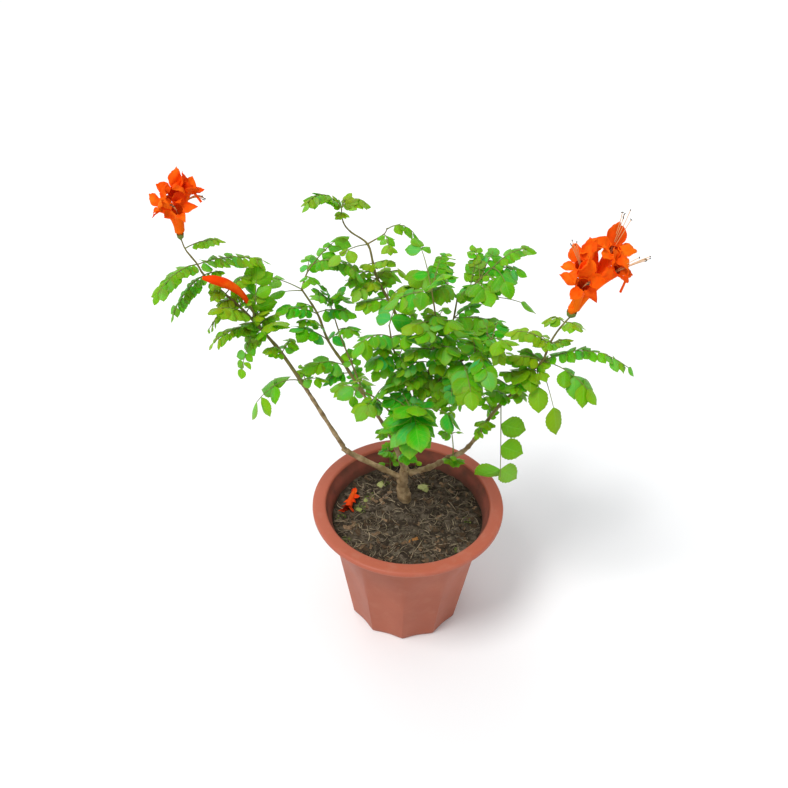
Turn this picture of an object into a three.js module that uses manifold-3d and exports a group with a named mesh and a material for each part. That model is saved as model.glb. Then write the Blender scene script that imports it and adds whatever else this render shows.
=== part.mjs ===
// Potted cape honeysuckle, in millimetres, +Z up.
// The origin is the middle of the pot's flat base, and the front of the plant looks along -Y.
import * as THREE from 'three';
import { mergeVertices } from 'three/addons/utils/BufferGeometryUtils.js';
import Module from 'manifold-3d';

const wasm = await Module();
wasm.setup();

// Pot
const potHeight = 190;
const rimRadius = 125;
const rimInnerRadius = 107;
const rimDrop = 8;
const baseRadius = 76;
const wallTopRadius = 104;
const wallTopHeight = 174;
const wallThickness = 2.6;
const floorThickness = 3;
const fluteCount = 11;
const fluteTurn = -92;
const fluteDepth = 4.6;
const fluteEnd = 162;
const fluteFade = [125, 150];
const stepsPerFlute = 3;
const drainHoleRadius = 6;
const drainHoleDistance = 44;
const drainHoleCount = 4;

// Soil, and the gap kept between neighbouring pieces
const soilHeight = 162;
const soilRelief = 2;
const restingSpot = { x: -77, y: 18, height: 163, radius: 34 };
const gap = 0.3;

// Leaves: a stalk with pairs of domed leaflets and one at its end
const stalkWidth = 1.5;
const stalkDepth = 1.3;
const neckLength = 1.8;
const firstPair = 0.34;
const lastPair = 0.88;
const onlyPair = 0.72;
const bladeThickness = 1.1;
const bladeWidth = 0.74;
const bladeDome = 0.1;
const tipCurl = 0.16;
const leafletHalves = [
  { least: 29, half: [[0.17, 0.78], [0.46, 1.0], [0.66, 0.58]] },
  { least: 20, half: [[0.24, 0.94], [0.62, 0.84]] },
  { least: 0, half: [[0.42, 1.0]] },
];

// Flowers: a curved funnel with five lobes
const funnelSides = 10;
const funnelSteps = 3;
const funnelBaseRadius = 3.4;
const funnelFlare = 1.2;
const joinTolerance = 0.25;
const funnelWall = 0.9;
const throatDepth = 0.3;
const lobeThickness = 1.1;
const lobeWidth = 0.78;
const lobeHalf = [[0.3, 0.9], [0.82, 0.9]];
const stamenRadius = 0.7;
const footLength = 9;
const calyxWall = [-0.8, 1.5, 1.6];
const calyxDepth = 3;
const calyxRise = 4.6;
const budRadii = [2.4, 3.5, 4.8, 5.8, 5.2, 2];

const up = new THREE.Vector3(0, 0, 1);
const across = new THREE.Vector3(0, 1, 0);
const radians = THREE.MathUtils.degToRad;
const lerp = THREE.MathUtils.lerp;

// A repeatable draw between 0 and 1 for a numbered leaf
function chance(piece, draw) {
  const wave = Math.sin(piece * 12.9898 + draw * 78.233) * 43758.5453;
  return wave - Math.floor(wave);
}

// Solids from points and triangles

class Shell {
  constructor() {
    this.points = [];
    this.faces = [];
  }

  add(point) {
    this.points.push(point.x, point.y, point.z);
    return this.points.length / 3 - 1;
  }

  face(a, b, c) {
    this.faces.push(a, b, c);
  }

  // Two rings of the same count, joined all the way round, with the triangles split either way
  band(low, high, turned = false) {
    low.forEach((here, i) => {
      const next = (i + 1) % low.length;
      this.face(here, low[next], turned ? high[i] : high[next]);
      this.face(turned ? low[next] : here, high[next], high[i]);
    });
  }

  fan(ring, centre) {
    ring.forEach((here, i) => this.face(here, ring[(i + 1) % ring.length], centre));
  }

  solid() {
    const mesh = new wasm.Mesh({
      numProp: 3,
      vertProperties: new Float32Array(this.points),
      triVerts: new Uint32Array(this.faces),
    });
    return new wasm.Manifold(mesh);
  }
}

function solidOf(geometry) {
  geometry.deleteAttribute('normal');
  geometry.deleteAttribute('uv');
  const merged = mergeVertices(geometry);
  const mesh = new wasm.Mesh({
    numProp: 3,
    vertProperties: new Float32Array(merged.attributes.position.array),
    triVerts: new Uint32Array(merged.index.array),
  });
  return new wasm.Manifold(mesh);
}

function joined(solids) {
  return solids.reduce((whole, solid) => whole.add(solid));
}

// The largest piece of a solid, without any loose scraps
function largest(solid) {
  return solid.decompose().sort((a, b) => b.volume() - a.volume())[0];
}

function ringAround(centre, along, radius, sides) {
  const side = new THREE.Vector3().crossVectors(across, along).normalize();
  const other = new THREE.Vector3().crossVectors(along, side).normalize();
  return Array.from({ length: sides }, (_, i) => {
    const angle = (2 * Math.PI * i) / sides;
    return centre.clone()
      .addScaledVector(side, radius * Math.cos(angle))
      .addScaledVector(other, radius * Math.sin(angle));
  });
}

// Pot and soil share their rings, so the soil fills the fluted wall with an even gap

function fluteShare(height) {
  const fade = THREE.MathUtils.clamp((fluteEnd - height) / 60, 0, 1);
  return fade * fade * (3 - 2 * fade);
}

function wallRadius(height) {
  return lerp(baseRadius, wallTopRadius, height / wallTopHeight);
}

// Points round the pot at one height, drawn in between the raised edges of the flutes
function flutedRing(shell, radius, height, share) {
  const count = fluteCount * stepsPerFlute;
  return Array.from({ length: count }, (_, i) => {
    const angle = radians(fluteTurn) + (2 * Math.PI * i) / count;
    const hollow = Math.abs(Math.sin((Math.PI * i) / stepsPerFlute));
    const reach = radius - fluteDepth * share * hollow;
    return shell.add(new THREE.Vector3(reach * Math.cos(angle), reach * Math.sin(angle), height));
  });
}

function wallRing(shell, height, inset) {
  return flutedRing(shell, wallRadius(height) - inset, height, fluteShare(height));
}

function roundRing(shell, radius, height) {
  return flutedRing(shell, radius, height, 0);
}

function potSolid() {
  const shell = new Shell();
  const rimBottom = potHeight - rimDrop;
  const outside = [
    wallRing(shell, 0, 2),
    wallRing(shell, 2, 0),
    ...[75, ...fluteFade, wallTopHeight].map((height) => wallRing(shell, height, 0)),
    roundRing(shell, rimRadius - 0.8, rimBottom),
    roundRing(shell, rimRadius, potHeight - 3),
    roundRing(shell, rimRadius - 1.5, potHeight - 0.6),
    roundRing(shell, rimRadius - 4.5, potHeight),
    roundRing(shell, rimInnerRadius + 3.5, potHeight),
    roundRing(shell, rimInnerRadius + 0.8, potHeight - 0.9),
    roundRing(shell, rimInnerRadius, potHeight - 5),
  ];
  const inside = [wallTopHeight, ...[...fluteFade].reverse(), floorThickness]
    .map((height) => wallRing(shell, height, wallThickness));
  const rings = [...outside, ...inside];
  rings.slice(1).forEach((ring, level) => shell.band(rings[level], ring, level >= outside.length));
  shell.fan([...rings[0]].reverse(), shell.add(new THREE.Vector3(0, 0, 0)));
  shell.fan(rings[rings.length - 1], shell.add(new THREE.Vector3(0, 0, floorThickness)));
  const holes = Array.from({ length: drainHoleCount }, (_, i) => {
    const hole = new THREE.CylinderGeometry(drainHoleRadius, drainHoleRadius, 4 * floorThickness, 10);
    hole.rotateX(Math.PI / 2);
    const angle = (2 * Math.PI * (i + 0.5)) / drainHoleCount;
    hole.translate(drainHoleDistance * Math.cos(angle), drainHoleDistance * Math.sin(angle), 0);
    return solidOf(hole);
  });
  return shell.solid().subtract(joined(holes));
}

// The height of the soil's rough top, a little higher round the trunk
function soilTop(x, y) {
  const waves = Math.sin(x / 13 + 1.7) * Math.cos(y / 11) + 0.6 * Math.sin(x / 6.1 - y / 7.3);
  const mound = 3.5 * Math.exp(-((x + 4) ** 2 + (y - 28) ** 2) / 900);
  const spot = Math.hypot(x - restingSpot.x, y - restingSpot.y);
  const flat = THREE.MathUtils.clamp((restingSpot.radius - spot) / 8, 0, 1);
  return lerp(soilHeight + soilRelief * waves * 0.7 + mound, restingSpot.height, flat);
}

function soilSolid(plugs) {
  const shell = new Shell();
  const inset = wallThickness + gap;
  const rings = [floorThickness + gap, ...fluteFade].map((height) => wallRing(shell, height, inset));
  rings.push(wallRing(shell, soilHeight - 4, inset + 1));
  for (const share of [0.975, 0.78, 0.55, 0.28]) {
    const ring = roundRing(shell, (wallRadius(soilHeight) - inset) * share, 0);
    ring.forEach((point) => {
      const [x, y] = shell.points.slice(3 * point, 3 * point + 2);
      shell.points[3 * point + 2] = soilTop(x, y);
    });
    rings.push(ring);
  }
  for (let level = 0; level + 1 < rings.length; level++) shell.band(rings[level], rings[level + 1]);
  shell.fan([...rings[0]].reverse(), shell.add(new THREE.Vector3(0, 0, floorThickness + gap)));
  shell.fan(rings[rings.length - 1], shell.add(new THREE.Vector3(0, 0, soilTop(0, 0))));
  return shell.solid().subtract(joined(plugs));
}

// Stems

// A stem's route runs through points chosen by eye, and its wood or shoot is a part of that route
function stem(points, options) {
  const route = new THREE.CatmullRomCurve3(
    points.map((p) => new THREE.Vector3(p[0], p[1], p[2])), false, 'catmullrom', 0.5);
  return { route, from: 0, to: 1, steps: 5, sides: 5, knobs: 0, leaves: [], ...options };
}

function stemSolid(part, grow = 0) {
  const shell = new Shell();
  const rings = [];
  for (let step = 0; step <= part.steps; step++) {
    const share = step / part.steps;
    const along = lerp(part.from, part.to, share);
    const tangent = part.route.getTangent(along);
    const centre = part.route.getPoint(along);
    if (step === 0) centre.addScaledVector(tangent, -grow);
    if (step === part.steps) centre.addScaledVector(tangent, grow);
    const width = part.radii ? part.radii[step] : lerp(part.thick, part.thin, share);
    const radius = width * (1 + part.knobs * (step % 2)) + grow;
    rings.push(ringAround(centre, tangent, radius, part.sides).map((point) => shell.add(point)));
  }
  for (let level = 0; level + 1 < rings.length; level++) shell.band(rings[level], rings[level + 1]);
  const [first, last] = [rings[0], rings[rings.length - 1]];
  for (let i = 1; i + 1 < part.sides; i++) {
    shell.face(first[0], first[i + 1], first[i]);
    shell.face(last[0], last[i], last[i + 1]);
  }
  return shell.solid();
}

// Blades

// A thin domed blade growing from a short edge, split into triangles alike on both faces
function growBlade(shell, edge, blade, thickness) {
  const crown = shell.add(blade.middle);
  const keel = shell.add(blade.middle.clone().addScaledVector(blade.normal, -thickness));
  const rim = blade.outline.map((point) => shell.add(point));
  const top = [edge.topStart, edge.topEnd, ...rim];
  const low = [edge.lowStart, edge.lowEnd, ...rim];
  top.forEach((here, i) => {
    const next = (i + 1) % top.length;
    shell.face(crown, here, top[next]);
    if (low[i] !== low[next]) shell.face(keel, low[next], low[i]);
  });
  shell.face(rim[0], edge.topEnd, edge.lowEnd);
  shell.face(edge.topStart, rim[rim.length - 1], edge.lowStart);
}

// A blade's outline and middle, from the half outline on each side of its rib
function bladeShape(start, forward, upward, half, length, width) {
  const sideways = new THREE.Vector3().crossVectors(forward, upward).normalize();
  const normal = new THREE.Vector3().crossVectors(sideways, forward);
  const place = (along, aside) => start.clone()
    .addScaledVector(forward, length * along)
    .addScaledVector(sideways, (width * aside) / 2)
    .addScaledVector(normal, -length * (bladeDome * Math.abs(aside) + tipCurl * along * along));
  const near = half.map(([along, aside]) => place(along, aside));
  const far = half.map(([along, aside]) => place(along, -aside)).reverse();
  return {
    normal,
    outline: [...near, place(1, 0), ...far],
    middle: place(0.45, 0),
  };
}

// Leaves

// The arched line of a leaf's stalk, from its stem to its tip
function leafLine(base, leaf) {
  const heading = radians(leaf.heading);
  const outward = new THREE.Vector3(Math.cos(heading), Math.sin(heading), 0);
  const tip = base.clone().addScaledVector(outward, leaf.reach).addScaledVector(up, leaf.rise);
  const span = Math.hypot(leaf.reach, leaf.rise);
  const middle = base.clone().lerp(tip, 0.5).addScaledVector(up, leaf.arch * span);
  const line = new THREE.QuadraticBezierCurve3(base, middle, tip);
  return { line, side: new THREE.Vector3(-outward.y, outward.x, 0), length: span * (1 + 0.4 * leaf.arch) };
}

function frameAt({ line, side }, along) {
  const tangent = line.getTangent(along);
  const normal = new THREE.Vector3().crossVectors(tangent, side).normalize();
  return { point: line.getPoint(along), tangent, normal, side };
}

// One leaflet at a frame of the stalk: hand is 1 on the left, -1 on the right and 0 at the end
function leafletAt(frame, leaf, number, pair, hand) {
  const draw = 3 * pair + hand + 2;
  const droop = hand === 0 ? 0.12 : 0.15 + 0.4 * chance(number, draw);
  const lean = hand === 0 ? 0 : radians(70 - 6 * pair);
  const forward = frame.tangent.clone().multiplyScalar(Math.cos(lean))
    .addScaledVector(frame.side, hand * Math.sin(lean))
    .addScaledVector(frame.normal, -droop)
    .normalize();
  const length = leaf.leaflet * (0.88 + 0.2 * chance(number, draw + 40));
  const start = frame.point.clone().addScaledVector(frame.side, (hand * stalkWidth) / 2);
  const { half } = leafletHalves.find(({ least }) => leaf.leaflet >= least);
  return { pair, hand, ...bladeShape(start, forward, frame.normal, half, length, length * bladeWidth) };
}

function leafParts(base, leaf, number) {
  const arc = leafLine(base, leaf);
  const end = Math.max(0.42, 1 - (0.95 * leaf.leaflet) / arc.length);
  const places = [];
  const leaflets = [];
  for (let pair = 0; pair < leaf.pairs; pair++) {
    const share = leaf.pairs === 1 ? onlyPair : lerp(firstPair, lastPair, pair / (leaf.pairs - 1));
    places.push(end * share);
    const frame = frameAt(arc, end * share);
    leaflets.push(leafletAt(frame, leaf, number, pair, 1), leafletAt(frame, leaf, number, pair, -1));
  }
  leaflets.push(leafletAt(frameAt(arc, end), leaf, number, leaf.pairs, 0));
  return { arc, end, places, leaflets, neck: neckLength / arc.length };
}

// One leaf as one closed solid: the leaflets grow from necks along a three-sided stalk
function leafSolid({ arc, end, places, leaflets, neck }) {
  const shell = new Shell();
  const stops = [0, ...places.flatMap((along) => [along - neck / 2, along + neck / 2]), end];
  const rows = stops.map((along) => {
    const { point, normal, side } = frameAt(arc, along);
    const high = point.clone().addScaledVector(normal, stalkDepth / 2);
    return {
      left: shell.add(high.clone().addScaledVector(side, stalkWidth / 2)),
      right: shell.add(high.clone().addScaledVector(side, -stalkWidth / 2)),
      low: shell.add(point.clone().addScaledVector(normal, -stalkDepth / 2)),
    };
  });
  shell.face(rows[0].right, rows[0].left, rows[0].low);
  for (let stop = 0; stop + 1 < rows.length; stop++) {
    const [here, next] = [rows[stop], rows[stop + 1]];
    shell.face(here.right, next.right, next.left);
    shell.face(here.right, next.left, here.left);
    if (stop % 2 === 1) continue;
    shell.face(here.left, next.left, next.low);
    shell.face(here.left, next.low, here.low);
    shell.face(next.right, here.right, here.low);
    shell.face(next.right, here.low, next.low);
  }
  const last = rows[rows.length - 1];
  for (const leaflet of leaflets) {
    const [back, front] = [rows[1 + 2 * leaflet.pair], rows[2 + 2 * leaflet.pair]];
    const edges = {
      0: () => ({ topStart: last.left, topEnd: last.right, lowStart: last.low, lowEnd: last.low }),
      1: () => ({ topStart: back.left, topEnd: front.left, lowStart: back.low, lowEnd: front.low }),
      '-1': () => ({ topStart: front.right, topEnd: back.right, lowStart: front.low, lowEnd: back.low }),
    };
    growBlade(shell, edges[leaflet.hand](), leaflet, bladeThickness);
  }
  return shell.solid();
}

// Flowers

// A flower runs from its base to its mouth, where it faces a heading and an elevation
function flowerLine(flower) {
  const base = new THREE.Vector3(...flower.base);
  const mouth = new THREE.Vector3(...flower.mouth);
  const [heading, elevation] = flower.faces.map(radians);
  const facing = new THREE.Vector3(
    Math.cos(heading) * Math.cos(elevation), Math.sin(heading) * Math.cos(elevation), Math.sin(elevation));
  const bend = mouth.clone().addScaledVector(facing, -0.5 * base.distanceTo(mouth));
  return { line: new THREE.QuadraticBezierCurve3(base, bend, mouth), facing };
}

function funnelRadius(flower, share) {
  return lerp(funnelBaseRadius, flower.wide, share ** funnelFlare);
}

function funnelRings(shell, flower, line) {
  return Array.from({ length: funnelSteps + 1 }, (_, step) => {
    const share = step / funnelSteps;
    return ringAround(line.getPoint(share), line.getTangent(share), funnelRadius(flower, share), funnelSides)
      .map((point) => shell.add(point));
  });
}

function flowerSolid(flower) {
  const shell = new Shell();
  const { line, facing } = flowerLine(flower);
  const rings = funnelRings(shell, flower, line);
  for (let level = 0; level < funnelSteps; level++) shell.band(rings[level], rings[level + 1]);
  shell.fan([...rings[0]].reverse(), shell.add(line.getPoint(0)));
  const rim = rings[funnelSteps];
  const inner = ringAround(line.getPoint(1), line.getTangent(1), flower.wide - funnelWall, funnelSides)
    .map((point) => shell.add(point));
  shell.fan(inner, shell.add(line.getPoint(1 - throatDepth)));
  for (let i = 0; i < funnelSides; i++) {
    const next = (i + 1) % funnelSides;
    if (i % 2 === 1) {
      shell.face(rim[i], rim[next], inner[next]);
      shell.face(rim[i], inner[next], inner[i]);
      continue;
    }
    const edge = { topStart: inner[next], topEnd: inner[i], lowStart: rim[next], lowEnd: rim[i] };
    growBlade(shell, edge, lobeShape(flower, line, facing, i + 0.5), lobeThickness);
  }
  const stamens = flower.stamens ? [stamenSolid(flower, line)] : [];
  return joined([shell.solid(), ...stamens]);
}

function lobeShape(flower, line, facing, place) {
  const mouth = line.getPoint(1);
  const out = ringAround(new THREE.Vector3(), line.getTangent(1), 1, 2 * funnelSides)[Math.round(2 * place)];
  const spread = radians(flower.spread + 10 * Math.sin(place * 2.1));
  const forward = facing.clone().multiplyScalar(Math.cos(spread)).addScaledVector(out, Math.sin(spread));
  const upward = facing.clone().multiplyScalar(Math.sin(spread)).addScaledVector(out, -Math.cos(spread));
  const start = mouth.addScaledVector(out, flower.wide - funnelWall / 2);
  const length = flower.lobe * (1 + 0.1 * Math.sin(place * 5.3) + 0.35 * out.z);
  return bladeShape(start, forward, upward, lobeHalf, length, length * lobeWidth);
}

function stamenSolid(flower, line) {
  const start = line.getPoint(1 - 1.3 * throatDepth);
  const mouth = line.getPoint(1);
  const end = mouth.clone().add(new THREE.Vector3(...flower.stamens));
  const points = [start, mouth, mouth.clone().lerp(end, 0.6), end];
  return stemSolid(stem(points.map((p) => p.toArray()), {
    thick: stamenRadius, thin: 1.1 * stamenRadius, steps: 3, sides: 3,
  }));
}

// The narrow foot that a head's flowers share, made larger by a margin
function footSolid(head, grow = 0) {
  const [x, y, z] = head.foot;
  return stemSolid(stem([[x, y, z], [x, y, z + footLength / 2], [x, y, z + footLength]], {
    thick: head.footRadius - 0.6, thin: head.footRadius, steps: 1, sides: 7,
  }), grow);
}

// The green cup that holds a head's foot
function calyxSolid(head) {
  const [x, y, z] = head.foot;
  const points = [[x, y, z - calyxDepth], [x, y, z + 1], [x, y, z + calyxRise]];
  const radii = calyxWall.map((wall) => head.footRadius + wall);
  return stemSolid(stem(points, { radii, steps: radii.length - 1, sides: 7 }));
}

// Plant data: the leaves of a stem are rows of their place along it, heading, reach, rise,
// pairs of leaflets, leaflet length and arch

const leftLimb = [
  [-6, 27, 204], [-76, 28, 247], [-88, 28, 264], [-122, 30, 333], [-136, 31, 361], [-159, 33, 404],
  [-174, 34, 426], [-187, 35, 444], [-200, 36, 461], [-223, 38, 485], [-242, 40, 505], [-249, 41, 520],
  [-260, 42, 537], [-264, 43, 552],
];
const rightLimb = [
  [2, 26, 216], [28, 22, 231], [52, 18, 253], [69, 15, 267], [84, 12, 295], [94, 8, 323], [105, 5, 348],
  [116, 2, 367], [128, 0, 383], [137, -3, 408], [150, -5, 428], [154, -8, 452], [160, -10, 471],
  [167, -12, 486], [172, -13, 495],
];
const backLeftBranch = [
  [-6, 30, 217], [-25, 38, 269], [-57, 48, 323], [-83, 58, 366], [-104, 66, 398], [-117, 76, 431],
  [-136, 85, 460],
];
const topBranch = [
  [9, 20, 321], [-6, 50, 398], [-21, 72, 434], [-44, 92, 471], [-50, 98, 490], [-57, 105, 513],
  [-77, 108, 527], [-86, 110, 539], [-88, 112, 556],
];
const leader = [[-5, 27, 214], [-4, 26, 256], [9, 20, 321], [18, 18, 376]];

const wood = [
  stem([[-4, 28, 134], [-3, 28, 162], [-8, 28, 190], [-5, 27, 222]], {
    thick: 10.6, thin: 7.6, steps: 6, sides: 9, knobs: 0.07,
  }),
  stem(leader, { thick: 4.6, thin: 2.6, steps: 8, sides: 6, knobs: 0.1 }),
  stem(leftLimb, { to: 0.29, thick: 4, thin: 3, steps: 9, sides: 6, knobs: 0.14 }),
  stem(rightLimb, { to: 0.34, thick: 4.2, thin: 3, steps: 8, sides: 6, knobs: 0.14 }),
  stem(backLeftBranch, { to: 0.36, thick: 3.2, thin: 2.6, steps: 6, knobs: 0.1 }),
  stem(topBranch, { to: 0.24, thick: 2.8, thin: 2.4, steps: 5, knobs: 0.1 }),
];

const shoots = {
  'left-shoot': [
    stem(leftLimb, {
      from: 0.29, thick: 2.9, thin: 1.1, steps: 10, knobs: 0.12,
      leaves: [
        [0.84, 234, 74, -17, 5, 16, 0.3], [0.77, 220, 53, -46, 4, 15, 0.25], [0.84, 21, 88, -15, 5, 17, 0.2],
        [0.93, 0, 47, 12, 3, 12, 0.2], [0.54, 80, 24, 62, 3, 26, 0.2], [0.56, 231, 59, 40, 3, 24, 0.3],
        [0.63, 194, 40, -33, 3, 11, 0.5], [0.52, 205, 65, -16, 4, 15, 0.3], [0.52, 241, 44, -55, 3, 15, 0.35],
        [0.49, 315, 39, 32, 2, 24, 0.2], [0.38, 65, 34, 2, 1, 16, 0.2], [0.31, 208, 69, -24, 2, 20, 0.5],
      ],
    }),
  ],
  'right-shoot': [
    stem(rightLimb, {
      from: 0.34, thick: 2.9, thin: 1.2, steps: 10, knobs: 0.12,
      leaves: [
        [0.36, 250, 24, 9, 1, 14, 0.2], [0.45, 286, 52, -91, 2, 29, 0.1], [0.5, 210, 32, 21, 1, 19, 0.2],
        [0.57, 261, 28, 4, 1, 16, 0.2], [0.71, 345, 104, -1, 5, 17, 0.45], [0.71, 325, 73, -29, 3, 22, 0.3],
        [0.7, 290, 53, -64, 2, 31, 0.1], [0.67, 221, 28, -1, 1, 28, 0.3], [0.79, 120, 36, -1, 2, 16, 0.15],
        [0.79, 174, 50, 10, 2, 16, 0.35], [0.93, 144, 29, -14, 2, 16, 0.25], [0.93, 289, 34, 14, 2, 16, 0.2],
      ],
    }),
  ],
  'back-left-shoot': [
    stem(backLeftBranch, {
      from: 0.36, thick: 2.5, thin: 1.7, steps: 7, knobs: 0.12,
      leaves: [
        [1, 180, 51, 19, 1, 20, 0.12], [0.99, 191, 49, 3, 1, 21, 0.12], [0.83, 209, 50, 20, 3, 17, 0.25],
        [0.84, 341, 51, 9, 2, 17, 0.25], [0.67, 204, 44, 31, 2, 22, 0.2], [0.5, 208, 54, 13, 2, 23, 0.3],
        [0.67, 45, 39, -2, 1, 20, 0.2], [0.4, 265, 39, -4, 1, 24, 0.2],
      ],
    }),
    stem([[-136, 85, 460], [-129, 88, 481], [-116, 92, 500]], {
      thick: 1.5, thin: 1, steps: 3,
      leaves: [
        [0.9, 38, 45, 22, 3, 20, 0.15], [0.8, 341, 68, -8, 4, 17, 0.45], [0.5, 85, 30, 10, 1, 17, 0.15],
      ],
    }),
    stem([[-57, 48, 323], [-74, 52, 372], [-89, 62, 410], [-101, 72, 450]], {
      thick: 1.7, thin: 1.1, steps: 5,
      leaves: [
        [0.97, 241, 35, 32, 2, 17, 0.3], [0.97, 59, 35, -5, 1, 20, 0.25], [0.72, 315, 37, 12, 2, 18, 0.3],
      ],
    }),
  ],
  'top-shoot': [
    stem(topBranch, {
      from: 0.24, thick: 2.3, thin: 1, steps: 9, knobs: 0.12,
      leaves: [
        [1, 227, 62, 18, 4, 15, 0.5], [1, 13, 35, -3, 3, 16, 0.35], [0.62, 225, 60, -1, 2, 17, 0.2],
        [0.5, 245, 23, 7, 1, 13, 0.2], [0.5, 319, 31, 14, 1, 15, 0.2], [0.38, 230, 46, -11, 2, 19, 0.3],
        [0.38, 45, 53, -12, 2, 22, 0.25], [0.3, 210, 47, 2, 2, 21, 0.25], [0.3, 315, 39, 41, 2, 23, 0.25],
      ],
    }),
    stem([[-57, 105, 513], [-38, 108, 525], [-34, 109, 533]], {
      thick: 1.2, thin: 0.9, steps: 3,
      leaves: [[0.5, 282, 45, -3, 4, 12, 0.3], [0.87, 11, 42, -20, 3, 14, 0.35]],
    }),
  ],
  'back-right-shoot': [
    stem([[14, 19, 350], [33, 45, 403], [45, 62, 421], [49, 72, 432], [53, 88, 451]], {
      thick: 2.2, thin: 1.6, steps: 5, knobs: 0.1,
      leaves: [
        [0.75, 15, 32, 16, 1, 15, 0.2], [0.75, 345, 63, 5, 3, 24, 0.12], [0.25, 30, 43, 1, 1, 22, 0.25],
        [0.95, 352, 98, -4, 1, 14, 0.3],
      ],
    }),
    stem([[53, 88, 451], [75, 94, 469], [93, 98, 488]], {
      thick: 1.4, thin: 1, steps: 3,
      leaves: [
        [1, 6, 49, 23, 4, 15, 0.38], [1, 287, 54, -10, 2, 26, 0.35], [0.49, 285, 52, 3, 2, 26, 0.35],
        [0.62, 65, 48, 20, 2, 21, 0.15], [0.33, 70, 21, 33, 1, 16, 0.15], [1, 346, 42, -3, 2, 17, 0.25],
      ],
    }),
    stem([[53, 88, 451], [41, 90, 466], [30, 92, 484]], {
      thick: 1.3, thin: 0.9, steps: 3,
      leaves: [[1, 73, 42, 5, 2, 17, 0.15], [1, 235, 55, 14, 2, 23, 0.25], [0.5, 235, 47, 3, 1, 23, 0.3]],
    }),
  ],
  'crown-shoot': [
    stem([[18, 18, 374], [23, 10, 428], [24, 8, 472], [18, 12, 510]], {
      thick: 2.3, thin: 1.1, steps: 6, knobs: 0.1,
      leaves: [
        [0.99, 110, 53, 36, 3, 17, 0.3], [0.99, 295, 37, 43, 2, 23, 0.3], [0.99, 190, 54, -16, 2, 23, 0.2],
        [0.66, 313, 40, 15, 2, 22, 0.15], [0.66, 220, 48, 8, 2, 22, 0.12], [0.5, 245, 41, 22, 2, 22, 0.35],
        [0.33, 305, 45, 22, 2, 24, 0.35], [0.1, 22, 47, -19, 1, 23, 0.3],
      ],
    }),
  ],
  'green-shoot': [
    stem([[9, 20, 321], [-9, 10, 383], [-23, 5, 431], [-29, 8, 464]], {
      thick: 2, thin: 1.3, steps: 5,
      leaves: [
        [0.99, 80, 58, 1, 1, 30, 0.1], [0.83, 230, 65, 14, 3, 23, 0.35], [0.83, 319, 41, 13, 1, 22, 0.3],
        [0.53, 232, 58, 19, 2, 22, 0.5],
      ],
    }),
  ],
  'right-crown-shoot': [
    stem([[13, 19, 343], [43, 0, 410], [71, -8, 436], [88, -10, 459]], {
      thick: 2, thin: 1.1, steps: 5,
      leaves: [
        [1, 295, 41, 13, 1, 22, 0.35], [1, 75, 48, -1, 2, 20, 0.2], [0.67, 285, 56, -5, 2, 27, 0.35],
        [0.67, 245, 25, 51, 2, 23, 0.2], [0.47, 279, 75, -13, 3, 30, 0.35], [0.47, 285, 50, -26, 1, 28, 0.35],
      ],
    }),
  ],
  'left-crown-shoot': [
    stem([[-1, 24, 274], [-23, 5, 332], [-44, -8, 369], [-64, -12, 384]], {
      thick: 1.9, thin: 1.1, steps: 5,
      leaves: [
        [1, 153, 37, -12, 1, 23, 0.3], [1, 80, 39, -5, 1, 20, 0.15], [0.67, 310, 27, 38, 1, 23, 0.2],
        [0.67, 239, 35, -7, 1, 22, 0.2],
      ],
    }),
  ],
  'front-shoot': [
    stem([[-4, 26, 250], [-6, 5, 292], [-5, -20, 338], [0, -35, 371]], {
      thick: 2.1, thin: 1.4, steps: 5,
      leaves: [
        [1, 275, 71, 13, 2, 36, 0.3], [1, 265, 57, -11, 1, 36, 0.2], [1, 275, 56, 47, 2, 32, 0.25],
        [0.8, 216, 37, 5, 1, 32, 0.2], [1, 5, 65, -31, 2, 26, 0.3],
      ],
    }),
  ],
  'limb-sprout': [
    stem([[56, 15, 248], [55, 13, 275], [52, 13, 299]], {
      thick: 1.2, thin: 0.9, steps: 3, sides: 4,
      leaves: [[0.97, 190, 18, 2, 1, 12, 0.2], [0.97, 350, 12, 4, 0, 12, 0.2], [0.22, 270, 14, 6, 0, 13, 0.2]],
    }),
  ],
  'left-seedling': [
    stem([[-23, 79, 148], [-23, 79, 163], [-25, 81, 185], [-28, 85, 203]], {
      thick: 1.2, thin: 0.8, steps: 4, sides: 4,
      leaves: [[0.98, 250, 15, 3, 1, 11, 0.2], [0.98, 60, 12, 2, 0, 11, 0.2], [0.66, 320, 13, 3, 0, 11, 0.2]],
    }),
  ],
  'middle-seedling': [
    stem([[10, 89, 150], [10, 89, 163], [11, 86, 176], [10, 85, 186]], {
      thick: 1.1, thin: 0.8, steps: 3, sides: 4,
      leaves: [[0.97, 300, 12, 2, 0, 11, 0.2], [0.97, 170, 12, 3, 0, 10, 0.2]],
    }),
  ],
};

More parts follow.
